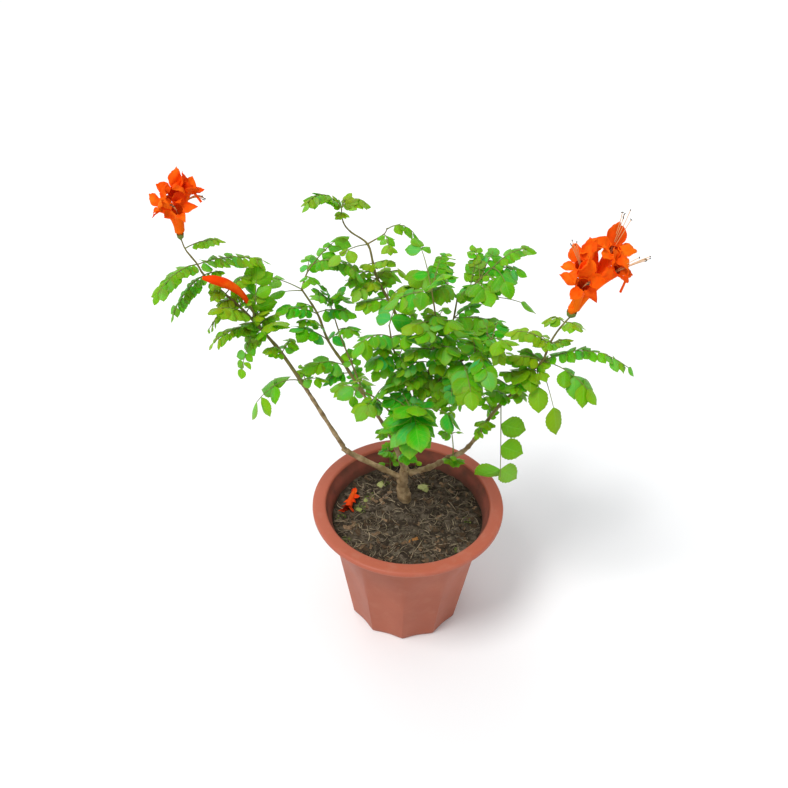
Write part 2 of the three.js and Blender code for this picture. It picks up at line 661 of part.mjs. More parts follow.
// Each head's foot, and its flowers: base, mouth, the heading and elevation faced, the mouth's
// radius, the lobes' length, their spread from the facing line in degrees, and a stamen's reach
const heads = {
  'left-shoot': {
    foot: [-264, 43, 552],
    footRadius: 3,
    flowers: [
      { base: [-262, 41, 560], mouth: [-261, 34, 592], faces: [285, 50], wide: 7.5, lobe: 15, spread: 50 },
      { base: [-264, 44, 560], mouth: [-266, 50, 604], faces: [270, 45], wide: 7.5, lobe: 16, spread: 62 },
      { base: [-266, 42, 559], mouth: [-281, 38, 593], faces: [200, 25], wide: 6.5, lobe: 13, spread: 45 },
      {
        base: [-262, 44, 560], mouth: [-252, 50, 606], faces: [15, 60], wide: 5.5, lobe: 15, spread: 25,
        stamens: [19, 0, -9],
      },
    ],
  },
  'right-shoot': {
    foot: [173, -13, 497],
    footRadius: 4.6,
    flowers: [
      { base: [177, -15, 505], mouth: [178, -29, 548], faces: [275, 45], wide: 8.5, lobe: 19, spread: 68 },
      {
        base: [171, -12, 505], mouth: [174, -12, 562], faces: [200, 50], wide: 8, lobe: 21, spread: 60,
        stamens: [-12, 0, 29],
      },
      {
        base: [175, -11, 505], mouth: [207, 0, 572], faces: [290, 62], wide: 8, lobe: 21, spread: 62,
        stamens: [14, 18, 38],
      },
      {
        base: [178, -13, 505], mouth: [214, -17, 560], faces: [330, 45], wide: 7, lobe: 18, spread: 60,
        stamens: [32, 0, 14],
      },
    ],
  },
};

// An unopened flower that arches over to the left from the left limb
const bud = stem([[-192, 30, 474], [-199, 28, 489], [-211, 25, 502], [-225, 22, 510], [-240, 20, 514]], {
  radii: budRadii, steps: budRadii.length - 1, sides: 7,
});
const budStalk = stem([[-187, 35, 446], [-188, 33, 460], [-192, 30, 474]], {
  radii: [1, 1.2, 3.4], steps: 2,
});

// A dropped flower, cut flat where it rests on the soil
const dropped = {
  base: [-73, 37, 166], mouth: [-79, 8, 167], faces: [262, 0], wide: 4.6, lobe: 10, spread: 30,
};

// Leaves are numbered in the order of the shoots
function placeLeaves() {
  const placed = {};
  let number = 0;
  for (const [name, stems] of Object.entries(shoots)) {
    placed[name] = [];
    for (const part of stems) {
      for (const [along, heading, reach, rise, pairs, leaflet, arch] of part.leaves) {
        number += 1;
        const leaf = { heading, reach, rise, pairs, leaflet, arch };
        placed[name].push(leafParts(part.route.getPoint(along), leaf, number));
      }
    }
  }
  return placed;
}

// Assembly

const colours = {
  terracotta: [0xb4563f, 0.55],
  soil: [0x3d2f25, 0.95],
  bark: [0x7a6048, 0.85],
  leaf: [0x3f9a1a, 0.5],
  petal: [0xff4a12, 0.5],
};

function meshOf(name, solid, colour) {
  const { vertProperties, triVerts } = solid.getMesh();
  const geometry = new THREE.BufferGeometry();
  geometry.setAttribute('position', new THREE.BufferAttribute(new Float32Array(vertProperties), 3));
  geometry.setIndex(new THREE.BufferAttribute(new Uint32Array(triVerts), 1));
  geometry.computeVertexNormals();
  const [color, roughness] = colours[colour];
  const material = new THREE.MeshStandardMaterial({ color, roughness, metalness: 0, flatShading: true });
  const mesh = new THREE.Mesh(geometry, material);
  mesh.name = name;
  return mesh;
}

const plant = new THREE.Group();
const woodGrown = joined(wood.map((part) => stemSolid(part, gap)));
const placed = placeLeaves();

function shootSolid(name) {
  const solids = [...shoots[name].map((part) => stemSolid(part)), ...placed[name].map(leafSolid)];
  const hollows = [woodGrown];
  if (heads[name]) {
    solids.push(calyxSolid(heads[name]));
    hollows.push(footSolid(heads[name], gap));
  }
  if (name === 'left-shoot') {
    solids.push(stemSolid(budStalk));
    hollows.push(stemSolid(bud, gap));
  }
  return largest(joined(solids).subtract(joined(hollows)).simplify(joinTolerance));
}

function headSolid(head) {
  return joined([footSolid(head), ...head.flowers.map(flowerSolid)]).simplify(joinTolerance);
}

function droppedSolid() {
  const rest = restingSpot.height + gap;
  const below = solidOf(new THREE.BoxGeometry(60, 60, 20));
  return largest(flowerSolid(dropped).subtract(below.translate(restingSpot.x, restingSpot.y, rest - 10)));
}

const seedlings = ['left-seedling', 'middle-seedling'].flatMap((name) => shoots[name]);
const plugs = [woodGrown, ...seedlings.map((part) => stemSolid(part, gap))];

plant.add(meshOf('pot', potSolid(), 'terracotta'));
plant.add(meshOf('soil', soilSolid(plugs), 'soil'));
plant.add(meshOf('trunk', joined(wood.map((part) => stemSolid(part))), 'bark'));
for (const name of Object.keys(shoots)) plant.add(meshOf(name, shootSolid(name), 'leaf'));
plant.add(meshOf('left-flowers', headSolid(heads['left-shoot']), 'petal'));
plant.add(meshOf('right-flowers', headSolid(heads['right-shoot']), 'petal'));
plant.add(meshOf('flower-bud', stemSolid(bud), 'petal'));
plant.add(meshOf('dropped-flower', droppedSolid(), 'petal'));

export default plant;
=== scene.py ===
"""Potted cape honeysuckle: a fluted plastic pot of soil with a young flowering climber."""

import math

import bmesh
import bpy
from mathutils import Matrix, Vector, noise


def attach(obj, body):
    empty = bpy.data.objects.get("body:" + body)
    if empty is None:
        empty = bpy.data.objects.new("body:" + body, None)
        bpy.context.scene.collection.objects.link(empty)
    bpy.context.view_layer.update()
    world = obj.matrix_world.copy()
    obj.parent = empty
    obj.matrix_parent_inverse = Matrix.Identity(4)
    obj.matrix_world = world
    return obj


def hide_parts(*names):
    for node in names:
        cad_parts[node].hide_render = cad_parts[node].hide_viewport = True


bl_info = {
    "name": "Potted cape honeysuckle",
    "version": (1, 0, 0),
    "blender": (4, 5, 0),
    "location": "3D View > Sidebar > Honeysuckle",
    "description": "Builds a potted cape honeysuckle around its solid model",
    "category": "Add Mesh",
}

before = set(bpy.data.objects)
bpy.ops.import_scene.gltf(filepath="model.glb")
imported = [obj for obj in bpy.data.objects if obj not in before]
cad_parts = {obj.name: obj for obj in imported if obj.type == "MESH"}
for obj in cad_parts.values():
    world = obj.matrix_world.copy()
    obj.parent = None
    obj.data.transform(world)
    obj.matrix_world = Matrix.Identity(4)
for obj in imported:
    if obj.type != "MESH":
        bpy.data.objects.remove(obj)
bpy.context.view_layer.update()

# Sizes below are in millimetres, and MM turns them into metres
MM = 0.001
UP = Vector((0, 0, 1))

# Pot
POT_HEIGHT = 190
RIM_RADIUS = 125
BASE_RADIUS = 76
WALL_TOP_RADIUS = 104
WALL_TOP_HEIGHT = 174
WALL_THICKNESS = 2.6
FLOOR_THICKNESS = 3
FLUTE_COUNT = 11
FLUTE_TURN = -92
FLUTE_DEPTH = 4.6
FLUTE_END = 162
STEPS_PER_FLUTE = 12
DRAIN_HOLE_RADIUS = 6
DRAIN_HOLE_DISTANCE = 44
DRAIN_HOLE_COUNT = 4

# Soil
SOIL_HEIGHT = 162
SOIL_RELIEF = 2
GAP = 0.3
RESTING_SPOT = Vector((-77, 18))
RESTING_HEIGHT = 163
RESTING_RADIUS = 34

# Moss and clumps of fibres as place, radius and count; sticks, amber chips and leaf scraps
# as place, half length or length, turn and brightness
MOSS_PATCHES = [
    (-88, -6, 6, 26), (-80, -44, 7, 30), (-62, 12, 9, 26), (-50, 34, 8, 22), (-30, 62, 7, 20),
    (24, 56, 7, 20), (80, -6, 6, 14), (62, -58, 5, 12),
]
FIBRE_CLUMPS = [
    (-52, 18, 11, 26), (-42, 4, 9, 16), (-34, 24, 8, 12), (8, -58, 13, 20), (-20, -52, 11, 14),
    (30, -44, 10, 12),
]
STICKS = [
    (14, -54, 13, 62, 0.9), (-22, -64, 12, 48, 0.9), (28, -60, 9, 20, 0.9),
    (-46, -38, 9, 150, 0.9), (6, -70, 10, 75, 0.9), (52, -20, 9, 100, 0.9),
    (60, 20, 10, 120, 0.9), (-14, -36, 8, 30, 0.9), (34, 2, 8, 140, 0.9),
    (-70, -20, 7, 40, 0.9),
]
AMBER_CHIPS = [(10, -42, 4, 25, 1), (3, -46, 2.5, 80, 1)]
LEAF_SCRAPS = [
    (-42, 60, 15, 250, 0.9), (-36, 66, 12, 160, 0.7), (14, 50, 15, 300, 0.9),
    (22, 56, 12, 200, 0.6), (-60, 8, 9, 80, 0.3), (-56, 22, 8, 10, 0.4),
]
# Fibres as name, bend and thickness
STRANDS = [("strand-slack", 0.25, 0.085), ("strand-bent", -0.5, 0.065),
           ("strand-curled", 0.9, 0.06)]
# The darkest and lightest colour of each kind of loose bit
LITTER_COLOURS = {
    "crumb": ((0.03, 0.022, 0.015), (0.19, 0.15, 0.11)),
    "bark-chip": ((0.06, 0.038, 0.022), (0.30, 0.19, 0.11)),
    "fibre": ((0.09, 0.066, 0.042), (0.45, 0.36, 0.24)),
    "moss": ((0.05, 0.07, 0.015), (0.20, 0.23, 0.06)),
    "stick": ((0.16, 0.11, 0.06), (0.42, 0.33, 0.22)),
    "leaf-scrap": ((0.20, 0.22, 0.06), (0.60, 0.62, 0.26)),
    "amber-chip": ((0.16, 0.07, 0.025), (0.38, 0.17, 0.05)),
    "tuft": ((0.16, 0.15, 0.08), (0.55, 0.50, 0.30)),
}
# How far loose bits keep from the pot's wall, the resting spot and the trunk, and where it stands
LITTER_MARGIN = 7
CLEAR_OF_SPOT = 12
CLEAR_OF_TRUNK = 13
TRUNK_FOOT = (-4, 28)

# Rows of a blade that are finished are lifted this far clear of the others, and put back
LIFT = 5

# Leaves: the half outline of a toothed leaflet, as (place along it, half width)
TOOTHED_EDGE = [
    (0.0, 0.06), (0.07, 0.45), (0.15, 0.76), (0.24, 0.94), (0.31, 0.92), (0.37, 1.0),
    (0.44, 0.94), (0.5, 0.99), (0.57, 0.88), (0.63, 0.87), (0.7, 0.7), (0.76, 0.66),
    (0.83, 0.46), (0.91, 0.24), (1.0, 0.02),
]
BLADE_WIDTH = 0.8
FIRST_PAIR = 0.3
STRIP_FIRST_PAIR = 0.1
LAST_PAIR = 0.9
ONLY_PAIR = 0.72
STRIP_PAIRS = 4
STALK_RADIUS = 0.6
PAIR_SPACING = 0.62
STRIP_SPACING = 0.46
MOST_PAIRS = 5
MOST_STRIP_PAIRS = 10
# How light passes through a leaflet: its share, its reach by colour and its scale in metres
LEAF_GLOW = {"Subsurface_Weight": 0.4, "Subsurface_Radius": (0.25, 1.0, 0.1),
             "Subsurface_Scale": 0.003}
# Where the draws of each kind of leaf begin, and how many numbers a stem's leaves take up
SMALL_LEAF_DRAWS = 400
YOUNG_LEAF_DRAWS = 900
EXTRA_LEAF_DRAWS = 6000
DRAWS_PER_LEAF = 31

# Flowers
FUNNEL_BASE_RADIUS = 3.4
FUNNEL_FLARE = 1.2
FOOT_LENGTH = 9
CALYX_DEPTH = 3
CALYX_TOOTH = 1.6
FLOWER_WALL = 0.7
LOBE_WIDTH = 0.72
LOBE_THICKNESS = 0.03
LOBE_COUNT = 5
STAMEN_RADIUS = 0.34
# The lobes' outlines, as (place along it, width)
BROAD_LOBE = [
    (0.0, 0.55), (0.12, 0.72), (0.25, 0.94), (0.4, 1.08), (0.55, 1.1), (0.7, 0.98),
    (0.82, 0.78), (0.92, 0.5), (1.0, 0.16),
]
POINTED_LOBE = [
    (0.0, 0.5), (0.14, 0.66), (0.3, 0.92), (0.45, 1.0), (0.6, 0.84), (0.74, 0.6),
    (0.86, 0.38), (1.0, 0.06),
]
RAGGED_LOBE = [
    (0.0, 0.52), (0.12, 0.68), (0.26, 1.0), (0.38, 0.92), (0.5, 1.06), (0.66, 0.8),
    (0.78, 0.82), (0.9, 0.42), (1.0, 0.14),
]
BUD_RADII = [2.4, 3.5, 4.8, 5.8, 5.2, 2]
BUD_LENGTH = 58


def stem(points, thick=1, thin=1, start=0, stop=1, knobs=0, leaves=()):
    """A stem: a part of a route through points, its radii and its leaves."""
    return {"points": points, "thick": thick, "thin": thin, "start": start, "stop": stop,
            "knobs": knobs, "leaves": leaves}


# Routes of the main stems
LEFT_LIMB = [
    [-6, 27, 204], [-76, 28, 247], [-88, 28, 264], [-122, 30, 333], [-136, 31, 361],
    [-159, 33, 404], [-174, 34, 426], [-187, 35, 444], [-200, 36, 461], [-223, 38, 485],
    [-242, 40, 505], [-249, 41, 520], [-260, 42, 537], [-264, 43, 552],
]
RIGHT_LIMB = [
    [2, 26, 216], [28, 22, 231], [52, 18, 253], [69, 15, 267], [84, 12, 295], [94, 8, 323],
    [105, 5, 348], [116, 2, 367], [128, 0, 383], [137, -3, 408], [150, -5, 428],
    [154, -8, 452], [160, -10, 471], [167, -12, 486], [172, -13, 495],
]
BACK_LEFT_BRANCH = [
    [-6, 30, 217], [-25, 38, 269], [-57, 48, 323], [-83, 58, 366], [-104, 66, 398],
    [-117, 76, 431], [-136, 85, 460],
]
TOP_BRANCH = [
    [9, 20, 321], [-6, 50, 398], [-21, 72, 434], [-44, 92, 471], [-50, 98, 490], [-57, 105, 513],
    [-77, 108, 527], [-86, 110, 539], [-88, 112, 556],
]
LEADER = [[-5, 27, 214], [-4, 26, 256], [9, 20, 321], [18, 18, 376]]

WOOD = [
    stem([[-4, 28, 134], [-3, 28, 162], [-8, 28, 190], [-5, 27, 222]],
        thick=10.6, thin=7.6, knobs=0.07,
    ),
    stem(LEADER, thick=4.6, thin=2.6, knobs=0.1),
    stem(LEFT_LIMB, stop=0.29, thick=4, thin=3, knobs=0.14),
    stem(RIGHT_LIMB, stop=0.34, thick=4.2, thin=3, knobs=0.14),
    stem(BACK_LEFT_BRANCH, stop=0.36, thick=3.2, thin=2.6, knobs=0.1),
    stem(TOP_BRANCH, stop=0.24, thick=2.8, thin=2.4, knobs=0.1),
]

# A leaf is a row of its place along the stem, heading, reach, rise, pairs of leaflets,
# leaflet length and arch. A leaf that has just that many pairs has them with a minus
SHOOTS = {
    "left-shoot": [
        stem(LEFT_LIMB,
            start=0.29, thick=2.9, thin=1.1, knobs=0.12,
            leaves=[
                [0.84, 234, 74, -17, 5, 16, 0.3], [0.77, 220, 53, -46, 4, 15, 0.25],
                [0.84, 21, 88, -15, 5, 17, 0.2], [0.93, 0, 47, 12, 3, 12, 0.2],
                [0.54, 80, 24, 62, 3, 26, 0.2], [0.56, 231, 59, 40, 3, 24, 0.3],
                [0.63, 194, 40, -33, 3, 11, 0.5], [0.52, 205, 65, -16, 4, 15, 0.3],
                [0.52, 241, 44, -55, 3, 15, 0.35], [0.49, 315, 39, 32, 2, 24, 0.2],
                [0.38, 65, 34, 2, 1, 16, 0.2], [0.31, 208, 76, -37, -3, 28, 0.5],
            ],
        ),
    ],
    "right-shoot": [
        stem(RIGHT_LIMB,
            start=0.34, thick=2.9, thin=1.2, knobs=0.12,
            leaves=[
                [0.36, 250, 24, 9, 1, 14, 0.2], [0.45, 274, 57, -113, -3, 37, 0.1],
                [0.5, 210, 32, 21, 1, 19, 0.2], [0.57, 261, 28, 4, 1, 16, 0.2],
                [0.71, 345, 109, 3, 5, 17, 0.45], [0.71, 326, 78, -29, 3, 25, 0.3],
                [0.7, 295, 58, -66, 0, 38, 0.1], [0.67, 221, 28, -1, 1, 28, 0.3],
                [0.79, 120, 36, -1, 2, 16, 0.15], [0.79, 174, 50, 10, 2, 16, 0.35],
                [0.93, 144, 29, -11, 2, 16, 0.45], [0.93, 289, 34, 14, 2, 16, 0.2],
            ],
        ),
    ],
    "back-left-shoot": [
        stem(BACK_LEFT_BRANCH,
            start=0.36, thick=2.5, thin=1.7, knobs=0.12,
            leaves=[
                [1, 180, 51, 19, -1, 20, 0.12], [0.99, 195, 41, -1, 0, 25, 0.12],
                [0.83, 209, 50, 20, 3, 17, 0.25], [0.84, 341, 51, 9, 2, 17, 0.25],
                [0.67, 204, 44, 31, 2, 22, 0.2], [0.5, 208, 54, 13, 2, 23, 0.3],
                [0.67, 45, 39, -2, 1, 20, 0.2], [0.4, 265, 39, -4, 0, 18, 0.2],
            ],
        ),
        stem([[-136, 85, 460], [-129, 88, 481], [-116, 92, 500]],
            thick=1.5, thin=1,
            leaves=[
                [0.9, 38, 45, 22, 3, 20, 0.15], [0.8, 341, 68, -8, 4, 17, 0.45],
                [0.5, 85, 30, 10, 1, 17, 0.15],
            ],
        ),
        stem([[-57, 48, 323], [-74, 52, 372], [-89, 62, 410], [-101, 72, 450]],
            thick=1.7, thin=1.1,
            leaves=[
                [0.97, 241, 35, 32, 2, 17, 0.3], [0.97, 59, 35, -5, 1, 20, 0.25],
                [0.72, 315, 37, 12, 2, 18, 0.3],
            ],
        ),
    ],
    "top-shoot": [
        stem(TOP_BRANCH,
            start=0.24, thick=2.3, thin=1, knobs=0.12,
            leaves=[
                [1, 227, 62, 20, 4, 15, 0.58], [1, 13, 35, -1, 3, 16, 0.6],
                [0.62, 225, 60, -1, -1, 19, 0.2], [0.5, 245, 23, 7, 1, 13, 0.2],
                [0.5, 319, 31, 14, 1, 15, 0.2], [0.38, 230, 46, -11, 2, 19, 0.3],
                [0.38, 45, 53, -12, 2, 22, 0.25], [0.3, 210, 47, 2, 2, 21, 0.25],
                [0.3, 315, 39, 41, 2, 23, 0.25],
            ],
        ),
        stem([[-57, 105, 513], [-38, 108, 525], [-34, 109, 533]],
            thick=1.2, thin=0.9,
            leaves=[[0.5, 282, 45, -3, -3, 13, 0.3], [0.87, 11, 42, -20, 3, 14, 0.55]],
        ),
    ],
    "back-right-shoot": [
        stem([[14, 19, 350], [33, 45, 403], [45, 62, 421], [49, 72, 432], [53, 88, 451]],
            thick=2.2, thin=1.6, knobs=0.1,
            leaves=[
                [0.75, 15, 32, 16, 1, 15, 0.2], [0.75, 345, 63, 5, 3, 24, 0.12],
                [0.25, 30, 43, 1, 1, 22, 0.25], [0.95, 352, 99, 0, 0, 28, 0.25],
            ],
        ),
        stem([[53, 88, 451], [75, 94, 469], [93, 98, 488]],
            thick=1.4, thin=1,
            leaves=[
                [1, 6, 49, 23, 4, 15, 0.38], [1, 291, 55, -10, -1, 26, 0.35],
                [0.49, 285, 52, 3, 2, 26, 0.35], [0.62, 65, 48, 20, 2, 21, 0.15],
                [0.33, 70, 21, 33, 1, 16, 0.15], [1, 346, 42, -3, 2, 17, 0.25],
            ],
        ),
        stem([[53, 88, 451], [41, 90, 466], [30, 92, 484]],
            thick=1.3, thin=0.9,
            leaves=[
                [1, 73, 42, 5, 2, 17, 0.15], [1, 235, 55, 14, 2, 23, 0.25],
                [0.5, 235, 47, 3, 1, 23, 0.3],
            ],
        ),
    ],
    "crown-shoot": [
        stem([[18, 18, 374], [23, 10, 428], [24, 8, 472], [18, 12, 510]],
            thick=2.3, thin=1.1, knobs=0.1,
            leaves=[
                [0.99, 110, 53, 36, -2, 21, 0.3], [0.99, 295, 37, 43, 2, 23, 0.3],
                [0.99, 190, 54, -16, 2, 23, 0.2], [0.66, 313, 40, 15, 2, 22, 0.15],
                [0.66, 220, 48, 8, 2, 22, 0.12], [0.5, 245, 41, 22, 2, 22, 0.35],
                [0.33, 305, 45, 22, 2, 24, 0.35], [0.1, 22, 47, -19, 1, 23, 0.3],
            ],
        ),
    ],
    "green-shoot": [
        stem([[9, 20, 321], [-9, 10, 383], [-23, 5, 431], [-29, 8, 464]],
            thick=2, thin=1.3,
            leaves=[
                [0.99, 80, 58, 1, 1, 30, 0.1], [0.83, 230, 65, 14, 3, 23, 0.35],
                [0.83, 319, 41, 13, 1, 22, 0.3], [0.53, 232, 58, 19, 2, 22, 0.5],
            ],
        ),
    ],
    "right-crown-shoot": [
        stem([[13, 19, 343], [43, 0, 410], [71, -8, 436], [88, -10, 459]],
            thick=2, thin=1.1,
            leaves=[
                [1, 295, 41, 13, 1, 22, 0.35], [1, 75, 48, -1, 2, 20, 0.2],
                [0.67, 285, 56, -5, 2, 23, 0.35], [0.67, 245, 25, 51, 2, 23, 0.2],
                [0.47, 279, 75, -13, 3, 24, 0.35], [0.47, 285, 50, -26, 1, 28, 0.35],
            ],
        ),
    ],
    "left-crown-shoot": [
        stem([[-1, 24, 274], [-23, 5, 332], [-44, -8, 369], [-64, -12, 384]],
            thick=1.9, thin=1.1,
            leaves=[
                [1, 153, 37, -12, 1, 23, 0.3], [1, 80, 39, -5, -1, 20, 0.15],
                [0.67, 310, 27, 38, 1, 23, 0.2], [0.67, 239, 35, -7, 1, 22, 0.2],
            ],
        ),
    ],
    "front-shoot": [
        stem([[-4, 26, 250], [-6, 5, 292], [-5, -20, 338], [0, -35, 371]],
            thick=2.1, thin=1.4,
            leaves=[
                [1, 275, 71, 13, 2, 36, 0.3], [1, 265, 57, -11, 1, 36, 0.2],
                [1, 275, 56, 47, 2, 32, 0.25], [0.8, 216, 37, 5, 1, 32, 0.2],
                [1, 5, 65, -30, -2, 30, 0.45],
            ],
        ),
    ],
    "limb-sprout": [
        stem([[56, 15, 248], [55, 13, 275], [52, 13, 299]],
            thick=1.2, thin=0.9,
            leaves=[
                [0.97, 190, 18, 2, 1, 12, 0.2], [0.97, 350, 12, 4, 0, 12, 0.2],
                [0.22, 270, 14, 6, 0, 13, 0.2],
            ],
        ),
    ],
    "left-seedling": [
        stem([[-23, 79, 148], [-23, 79, 163], [-25, 81, 185], [-28, 85, 203]],
            thick=1.2, thin=0.8,
            leaves=[
                [0.98, 250, 15, 3, 1, 11, 0.2], [0.98, 60, 12, 2, 0, 11, 0.2],
                [0.66, 320, 13, 3, 0, 11, 0.2],
            ],
        ),
    ],
    "middle-seedling": [
        stem([[10, 89, 150], [10, 89, 163], [11, 86, 176], [10, 85, 186]],
            thick=1.1, thin=0.8,
            leaves=[[0.97, 300, 12, 2, 0, 11, 0.2], [0.97, 170, 12, 3, 0, 10, 0.2]],
        ),
    ],
}

# Smaller leaves that fill out a shoot, by shoot and stem: rows as above
EXTRA_LEAVES = {
    ("left-shoot", 0): [
        [0.66, 206, 23, -23, 3, 14, 0.35], [0.6, 229, 29, 13, 3, 15, 0.3],
        [0.7, 233, 15, -5, 3, 14, 0.25], [0.68, 33, 33, 17, 3, 14, 0.2],
        [0.63, 199, 43, -33, 2, 9, 0.5], [0.5, 236, 29, -16, 2, 14, 0.2],
        [0.62, 139, 12, 20, 3, 14, 0.2], [0.66, 226, 22, -3, 3, 13, 0.25],
        [0.6, 42, 24, 19, 2, 15, 0.2],
    ],
    ("back-left-shoot", 0): [
        [0.86, 203, 20, 13, 2, 12, 0.3], [0.75, 205, 33, 18, 3, 12, 0.3],
        [0.46, 211, 39, -3, 3, 13, 0.25], [0.72, 240, 25, 33, 2, 11, 0.2],
    ],
    ("back-left-shoot", 2): [
        [0.97, 203, 21, 28, 3, 12, 0.3], [0.97, 29, 16, 19, 3, 12, 0.3],
        [0.97, 213, 7, 29, 3, 14, 0.3], [0.97, 305, 17, 28, 3, 13, 0.3],
    ],
    ("top-shoot", 0): [
        [0.38, 204, 44, 3, 3, 13, 0.25], [1, 12, 19, 10, 3, 12, 0.3],
        [1, 199, 18, 16, 3, 12, 0.3], [0.97, 265, 14, -2, 1, 11, 0.1],
        [1, 39, 13, 13, 3, 12, 0.3], [1, 167, 9, 13, 2, 12, 0.3],
        [0.42, 197, 35, -3, 3, 13, 0.3],
    ],
    ("green-shoot", 0): [
        [0.5, 234, 49, 7, 3, 15, 0.45], [0.66, 233, 37, 18, 3, 14, 0.3],
        [0.35, 241, 39, 6, 3, 15, 0.4],
    ],
    ("crown-shoot", 0): [
        [0.33, 223, 44, 12, 2, 16, 0.3], [0.2, 220, 53, 6, 3, 15, 0.35],
        [0.12, 215, 65, 8, 3, 15, 0.35], [0.05, 306, 37, -19, 3, 15, 0.3],
        [0.1, 285, 25, -10, 2, 15, 0.3], [0.99, 71, 40, 28, 3, 12, 0.3],
        [0.04, 255, 35, -6, 3, 15, 0.35], [0.04, 294, 33, -30, 3, 16, 0.3],
        [0.08, 238, 47, 8, 3, 15, 0.35],
    ],
    ("right-crown-shoot", 0): [
        [0.35, 274, 30, -38, 3, 15, 0.2], [0.3, 306, 37, -41, 3, 15, 0.2],
        [0.9, 311, 32, -12, 3, 15, 0.3], [0.25, 297, 29, -57, 2, 18, 0.25],
        [0.2, 269, 24, -14, 3, 15, 0.25],
    ],
    ("right-shoot", 0): [
        [0.62, 202, 37, 15, 3, 15, 0.25], [0.66, 170, 35, 17, 3, 14, 0.25],
        [0.5, 226, 28, 8, 2, 13, 0.25], [0.36, 225, 23, -20, 1, 12, 0.2],
        [0.68, 274, 42, -35, 0, 34, 0.1], [0.6, 243, 38, 12, 2, 15, 0.2],
    ],
    ("back-right-shoot", 1): [
        [0.62, 103, 35, 26, 3, 13, 0.25],
        [0.8, 294, 37, -6, 3, 13, 0.25],
    ],
    ("limb-sprout", 0): [
        [0.05, 335, 14, 3, 1, 12, 0.2], [0.08, 221, 12, 2, 1, 11, 0.2],
    ],
    ("left-seedling", 0): [
        [0.98, 206, 14, 0, 1, 11, 0.2], [0.8, 9, 13, 6, 1, 11, 0.2],
        [0.98, 102, 8, 7, 1, 10, 0.2], [0.6, 210, 16, 7, 0, 11, 0.2],
    ],
}

# Leaflets that have dropped off, as the leaf's number, the pair and the side
LOST_LEAFLETS = {(12, 0, 1), (12, 2, -1), (14, 0, -1), (14, 1, -1), (14, 3, 0),
                 (18, 0, -1), (18, 0, 1)}

# How far each shoot's leaves lean from deep green to yellow green
YELLOWNESS = {
    "left-shoot": 0.66, "right-shoot": 0.58, "back-left-shoot": 0.28, "top-shoot": 0.66,
    "back-right-shoot": 0.3, "crown-shoot": 0.36, "green-shoot": 0.32, "right-crown-shoot": 0.27,
    "left-crown-shoot": 0.38, "front-shoot": 0.06, "limb-sprout": 0.35, "left-seedling": 0.2,
    "middle-seedling": 0.2,
}

# How thickly young leaves grow, and between which shares of the stem
YOUNG_LEAVES = {
    "left-shoot": (4, 0.25, 0.8), "right-shoot": (3, 0.25, 0.85),
    "back-left-shoot": (4, 0.2, 0.49), "top-shoot": (2, 0.2, 0.45),
    "back-right-shoot": (7, 0.2, 0.6), "crown-shoot": (15, 0.02, 0.75),
    "green-shoot": (18, 0.02, 0.8), "right-crown-shoot": (18, 0.02, 1),
    "left-crown-shoot": (7, 0.02, 0.6), "front-shoot": (16, 0.02, 1),
}

def bloom(base, mouth, faces, wide, lobe, spread, stamens=None):
    """A flower: base, mouth, heading and elevation faced, mouth radius, lobe length, spread
    of the lobes from the facing line in degrees, and the reach of the stamens."""
    return {"base": base, "mouth": mouth, "faces": faces, "wide": wide, "lobe": lobe,
            "spread": spread, "stamens": stamens}


# Each head's foot, its least redness and its flowers
HEADS = {
    "left-flowers": {
        "foot": (-264, 43, 552),
        "foot_radius": 3,
        "redness": 0.3,
        "flowers": [
            bloom((-262, 41, 560), (-261, 34, 592), (285, 50), 7.5, 15, 50, (-3, -12, 12)),
            bloom((-264, 44, 560), (-266, 50, 604), (270, 45), 7.5, 16, 62),
            bloom((-266, 42, 559), (-281, 38, 593), (200, 25), 6.5, 15, 48),
            bloom((-262, 44, 560), (-252, 50, 606), (15, 60), 5.5, 18, 36, (19, 0, -9)),
        ],
    },
    "right-flowers": {
        "foot": (173, -13, 497),
        "foot_radius": 4.6,
        "redness": 0.0,
        "flowers": [
            bloom((177, -15, 505), (178, -29, 548), (275, 45), 8.5, 19, 68, (2, -12, 8)),
            bloom((171, -12, 505), (174, -12, 562), (200, 50), 8, 21, 60, (-12, 0, 29)),
            bloom((175, -11, 505), (211, 0, 574), (290, 62), 8, 21, 62, (14, 18, 38)),
            bloom((178, -13, 505), (214, -17, 560), (330, 45), 7, 18, 60, (32, 0, 14)),
            bloom((173, -9, 507), (189, 6, 568), (140, 68), 6, 16, 52),
        ],
    },
}
BUD_ROUTE = [(-192, 30, 474), (-199, 28, 489), (-211, 25, 502), (-225, 22, 510), (-240, 20, 514)]
BUD_STALK = [(-187, 35, 446), (-188, 33, 460), (-192, 30, 474)]
DROPPED = bloom((-73, 37, 166), (-79, 8, 167), (262, 0), 4.6, 10, 30)

# The number that the dropped flower's draws go by, and how withered it is
DROPPED_NUMBER = 20
DROPPED_FADING = 0.6
# Crumpled petals of the dropped flower, as place, heading and length, and their tint
PETAL_TINT = (0.9, 0.3, 0.4)
DROPPED_PETALS = [
    ((-74, 27, 168), 15, 10), ((-77, 17, 169), 170, 9), ((-73, 34, 168), 80, 10),
    ((-76, 22, 170), 330, 8),
]

# Limp styles left by spent flowers, as the points of each
STYLES = {
    "left-flowers": [(-255, 48, 604), (-249, 48, 607), (-243, 46, 605), (-236, 42, 597)],
    "right-flowers": [(218, -14, 563), (225, -17, 560), (224, -18, 546), (221, -18, 532)],
}
STYLE_RADIUS = 1.3

# Camera: the photo's view
CAMERA_PLACE = (-0.0215, -0.9357, 1.1188)
CAMERA_PITCH = 38.7
CAMERA_ROLL = 1.3
CAMERA_LENS = 45.69

CAMERA_SENSOR = 36

